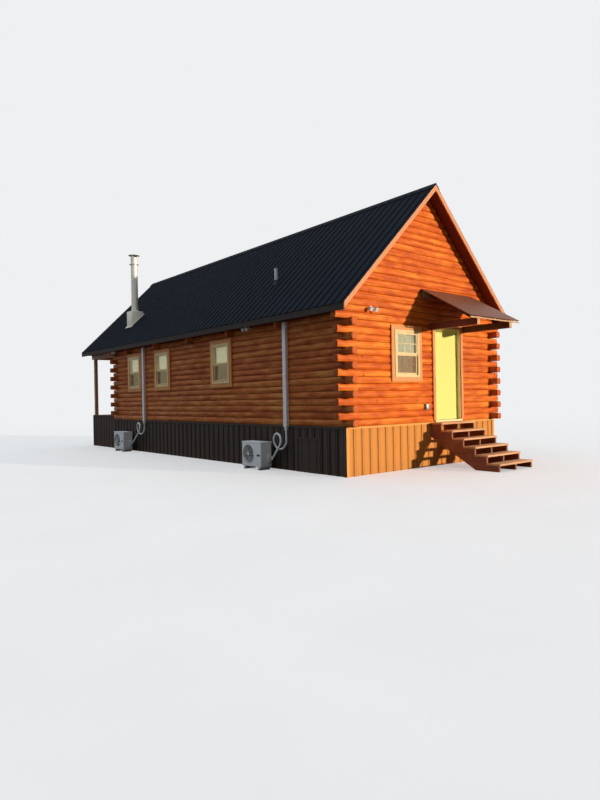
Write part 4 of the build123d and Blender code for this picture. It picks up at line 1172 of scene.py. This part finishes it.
wires = [wire_ring(0.0150 + 0.0196 * k, 0.0014, 0.0052, 40) for k in range(RINGS)]
wires.append(wire_ring(0.2095, 0.0022, 0.0050, 48))
for k in range(SPOKES):
    spoke = tube(0.0012, Vector((0.034, 0, 0.0026)), Vector((0.2090, 0, 0.0026)), 5)
    spoke.data.transform(rotation(360 * k / SPOKES, "Z"))
    wires.append(spoke)
wires.append(turned([(0.036, 0.0030), (0.036, 0.0060), (0.030, 0.0072)], 32))
guards = [placed(wire, centre, face_turn) for centre in fan_centres for wire in wires]
gather("wire_guards", guards, unit_paint, hides=["fan_guards"])
clear_blanks(*wires)

# %% [markdown]
# The housing gets a ring round the fan opening, a lid with a lip, a service panel with a
# dark handle recess, a valve cover, coil fins at the back and two feet. The plates on
# its front stand out by a few millimetres.

# %% Housings
VALVE_COVER_X = (-2.78, -2.69)
HANDLE_Y, HANDLE_Z = (0.03, 0.16), (0.29, 0.35)
HANDLE_EDGE = 0.006
FINS = 56
dark_plastic = moulded_finish("dark_plastic", srgb(52, 52, 54), 0.5)
fin_metal = bare_metal_finish("coil_fins", srgb(120, 122, 124), 0.4, 0.05)
shroud = turned([(0.2040, 0.0003), (0.2040, 0.0016), (0.2090, 0.0022), (0.2240, 0.0010), (0.2240, 0.0003)],
                48, closed=True)
plates = [placed(shroud, centre, face_turn) for centre in fan_centres]
dark, fins = [], []
inner_y = (HANDLE_Y[0] + HANDLE_EDGE, HANDLE_Y[1] - HANDLE_EDGE)
inner_z = (HANDLE_Z[0] + HANDLE_EDGE, HANDLE_Z[1] - HANDLE_EDGE)
for low, high in units:

    def on_front(stand_out, y, z, sunk=0.002):
        """A plate on the front of the unit."""
        return block(blank_board, (low.x - stand_out, low.x + sunk), (low.y + y[0], low.y + y[1]), z)

    panel_z = (low.z + 0.085, high.z - 0.034)
    plates += [on_front(0.0022, (0.014, 0.176), panel_z, 0.004), on_front(0.0016, (0.182, 0.236), panel_z, 0.004)]
    for y, z in ((HANDLE_Y, (HANDLE_Z[0], inner_z[0])), (HANDLE_Y, (inner_z[1], HANDLE_Z[1])),
                 ((HANDLE_Y[0], inner_y[0]), inner_z), ((inner_y[1], HANDLE_Y[1]), inner_z)):
        plates.append(on_front(0.0050, y, z))
    dark.append(on_front(0.0030, inner_y, inner_z))
    plates.append(block(blank_sheet, (low.x - 0.004, high.x + 0.004), (low.y - 0.004, high.y + 0.004),
                        (high.z - 0.028, high.z + 0.003)))
    plates.append(block(blank_sheet, VALVE_COVER_X, (low.y - 0.012, low.y + 0.004), (0.15, 0.34)))
    for k in range(FINS):
        y = low.y + 0.06 + 0.6 * k / (FINS - 1)
        fins.append(block(blank_board, (high.x - 0.001, high.x + 0.005), (y - 0.0016, y + 0.0016), (0.11, 0.56)))
    for z in (0.12, 0.245, 0.37, 0.495, 0.548):
        fins.append(block(blank_board, (high.x + 0.004, high.x + 0.008), (low.y + 0.05, low.y + 0.67),
                          (z - 0.002, z + 0.002)))
    for y in (low.y + 0.06, high.y - 0.12):
        dark.append(block(blank_sheet, (low.x + 0.006, high.x - 0.006), (y - 0.004, y + 0.064), (0.0, 0.020)))
gather("unit_panels", plates, unit_paint)
gather("unit_recesses", dark, dark_plastic)
gather("coil_fins", fins, fin_metal)
clear_blanks(shroud)

# %% [markdown]
# A fan blade starts as a narrow strip at the hub. Its outer edge is extruded in steps and
# turned at each step, so the pitch flattens towards the tip, and a solidify modifier gives
# the blade its thickness. The hub is turned with a rounded nose. Each rotor rides on the
# body of its own fan.

# %% Fans
BLADES = 3
BLADE_THICKNESS = 0.003
BLADE_STATIONS = ((0.045, 0.088, 40), (0.080, 0.104, 34), (0.115, 0.122, 29), (0.145, 0.134, 25),
                  (0.168, 0.132, 22), (0.180, 0.118, 20), (0.187, 0.090, 19))


def fan_blade():
    """One blade along +X, from stations of (radius, chord, pitch)."""
    radius, chord, pitch = BLADE_STATIONS[0]
    blade = fresh("plane", size=1)
    edit(blade)
    bpy.ops.transform.resize(value=(0.01, chord, 1), center_override=(0, 0, 0))
    bpy.ops.mesh.subdivide(number_cuts=5)
    pick("EDGE", lambda edge: abs(edge.verts[0].co.x - edge.verts[1].co.x) < 1e-5)
    bpy.ops.transform.translate(value=(radius - 0.005, 0, 0))
    bpy.ops.transform.rotate(value=-math.radians(pitch), orient_axis="X", center_override=(0, 0, 0))
    pick("EDGE", lambda edge: all(v.co.x > radius - 0.001 for v in edge.verts))
    for next_radius, next_chord, next_pitch in BLADE_STATIONS[1:]:
        extrude(next_radius - radius, 0, 0)
        bpy.ops.transform.rotate(value=math.radians(pitch - next_pitch), orient_axis="X", center_override=(0, 0, 0))
        share = next_chord / chord
        bpy.ops.transform.resize(value=(1, share, share), center_override=(0, 0, 0))
        radius, chord, pitch = next_radius, next_chord, next_pitch
    done()
    modifier = blade.modifiers.new("thickness", "SOLIDIFY")
    modifier.thickness = BLADE_THICKNESS
    modifier.offset = 0
    bpy.ops.object.modifier_apply(modifier=modifier.name)
    return blade


blade = fan_blade()
nose = turned([(0.020, -0.034), (0.050, -0.031), (0.054, -0.024), (0.054, 0.014), (0.050, 0.024), (0.038, 0.031),
               (0.018, 0.0345)], 32)
for name, body, guard_centre in (("fan_near", "near_fan", fan_centres[0]), ("fan_far", "far_fan", fan_centres[1])):
    low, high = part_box(name)
    centre = Vector(((low.x + high.x) / 2, guard_centre.y, FAN_Z))
    rotor = [placed(nose, centre, face_turn)]
    rotor += [placed(blade, centre, face_turn @ rotation(360 * k / BLADES, "Z")) for k in range(BLADES)]
    gather(name + "_rotor", rotor, fan_plastic, body=body, hides=[name])
clear_blanks(blade, nose)

# %% [markdown]
# ## Lights
# Each flood light has a domed base, a short arm and two lamp heads with cooling ribs and
# a lens. One hangs under the eave of the long side, the other stands on the door end.

# %% Flood lights
EAVE_LIGHT_X, EAVE_LIGHT_Z, EAVE_UNDERSIDE = -2.66, 3.1645, 3.2042
END_LIGHT_Z, END_LIGHT_OUT = 3.2998, 0.0404
HEAD_APART = 0.075
HEAD_TILT = 115
head = turned([(0.012, -0.022), (0.022, -0.019), (0.027, -0.012), (0.027, -0.004), (0.024, -0.003), (0.024, 0.002),
               (0.028, 0.003), (0.029, 0.010), (0.026, 0.011), (0.026, 0.016), (0.031, 0.018), (0.043, 0.058),
               (0.045, 0.062), (0.045, 0.080), (0.040, 0.080), (0.039, 0.074)], 24)
lens = turned([(0.0385, 0.0742), (0.036, 0.0780), (0.026, 0.0800), (0.010, 0.0808)], 24)
dome = turned([(0.055, 0.0), (0.055, 0.010), (0.050, 0.020), (0.034, 0.032), (0.016, 0.038)], 32)
arm = block(blank_sheet, (-HEAD_APART, HEAD_APART), (-0.010, 0.010), (-0.010, 0.010))
lens_finish = moulded_finish("lamp_lens", srgb(214, 222, 224), 0.15, 0.0)
lamps, lenses = [], []
for low, high in solids("flood_lights"):
    if middle(low, high).y > FRONT_FACE:
        pivot, turn = Vector((EAVE_LIGHT_X, (low.y + high.y) / 2, EAVE_LIGHT_Z)), rotation(-90, "Z")
        base = placed(dome, Vector((pivot.x, pivot.y, EAVE_UNDERSIDE)), rotation(180, "X"))
    else:
        pivot, turn = Vector(((low.x + high.x) / 2, FRONT_FACE - END_LIGHT_OUT, END_LIGHT_Z)), Matrix()
        base = placed(dome, Vector((pivot.x, FRONT_FACE - 0.0004, pivot.z)), rotation(90, "X"))
    lamps += [base, placed(arm, pivot, turn)]
    for side in (-1, 1):
        aim = turn @ Matrix.Translation((side * HEAD_APART, 0, 0)) @ rotation(HEAD_TILT, "X")
        lamps.append(placed(head, pivot, aim))
        lenses.append(placed(lens, pivot, aim))
gather("twin_flood_lights", lamps, lamp_plastic, hides=["flood_lights"])
gather("lamp_lenses", lenses, lens_finish)
clear_blanks(head, lens, dome, arm)

# %% [markdown]
# ## Outlet, threshold and door furniture
# The outlet cover gets its hinged lid, and a metal threshold lies under the door leaf.
# The knobs and the bolts above them are turned, and ride on the door.

# %% Outlet, threshold and door furniture
THRESHOLD_Z = (1.0036, 1.0062)
DEADBOLT_ABOVE = 0.14
low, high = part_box("outlet_cover")
lid = [block(blank_sheet, (low.x + 0.004, high.x - 0.004), (low.y - 0.010, low.y + 0.002),
             (low.z + 0.004, high.z - 0.004)),
       block(blank_board, (low.x + 0.020, high.x - 0.020), (low.y - 0.012, low.y - 0.002),
             (high.z - 0.010, high.z + 0.002))]
gather("outlet_lid", lid, outlet_metal)

knob = turned([(0.0325, 0), (0.0325, 0.004), (0.029, 0.008), (0.012, 0.011), (0.011, 0.026), (0.018, 0.031),
               (0.0255, 0.040), (0.027, 0.047), (0.025, 0.056), (0.016, 0.062), (0.005, 0.0638)], 32)
bolt = turned([(0.028, 0), (0.028, 0.006), (0.024, 0.012), (0.018, 0.014), (0.016, 0.020), (0.005, 0.0205)], 32)
furniture = []
for low, high in solids("door_knobs"):
    outer = low.y < 0.05
    place = middle(low, high)
    place.y = high.y if outer else low.y
    turn = rotation(90 if outer else -90, "X")
    furniture += [placed(knob, place, turn), placed(bolt, place + Vector((0, 0, DEADBOLT_ABOVE)), turn)]
gather("knobs_and_deadbolt", furniture, hinge_metal, body="entry_door_leaf", hides=["door_knobs"])

low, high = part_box("entry_door")
plate = block(blank_board, (low.x - 0.006, high.x + 0.006), (FRONT_FACE - 0.022, low.y - 0.004), THRESHOLD_Z)
gather("threshold", [plate], outlet_metal)
clear_blanks(knob, bolt, blank_sheet, blank_board, blank_wood)
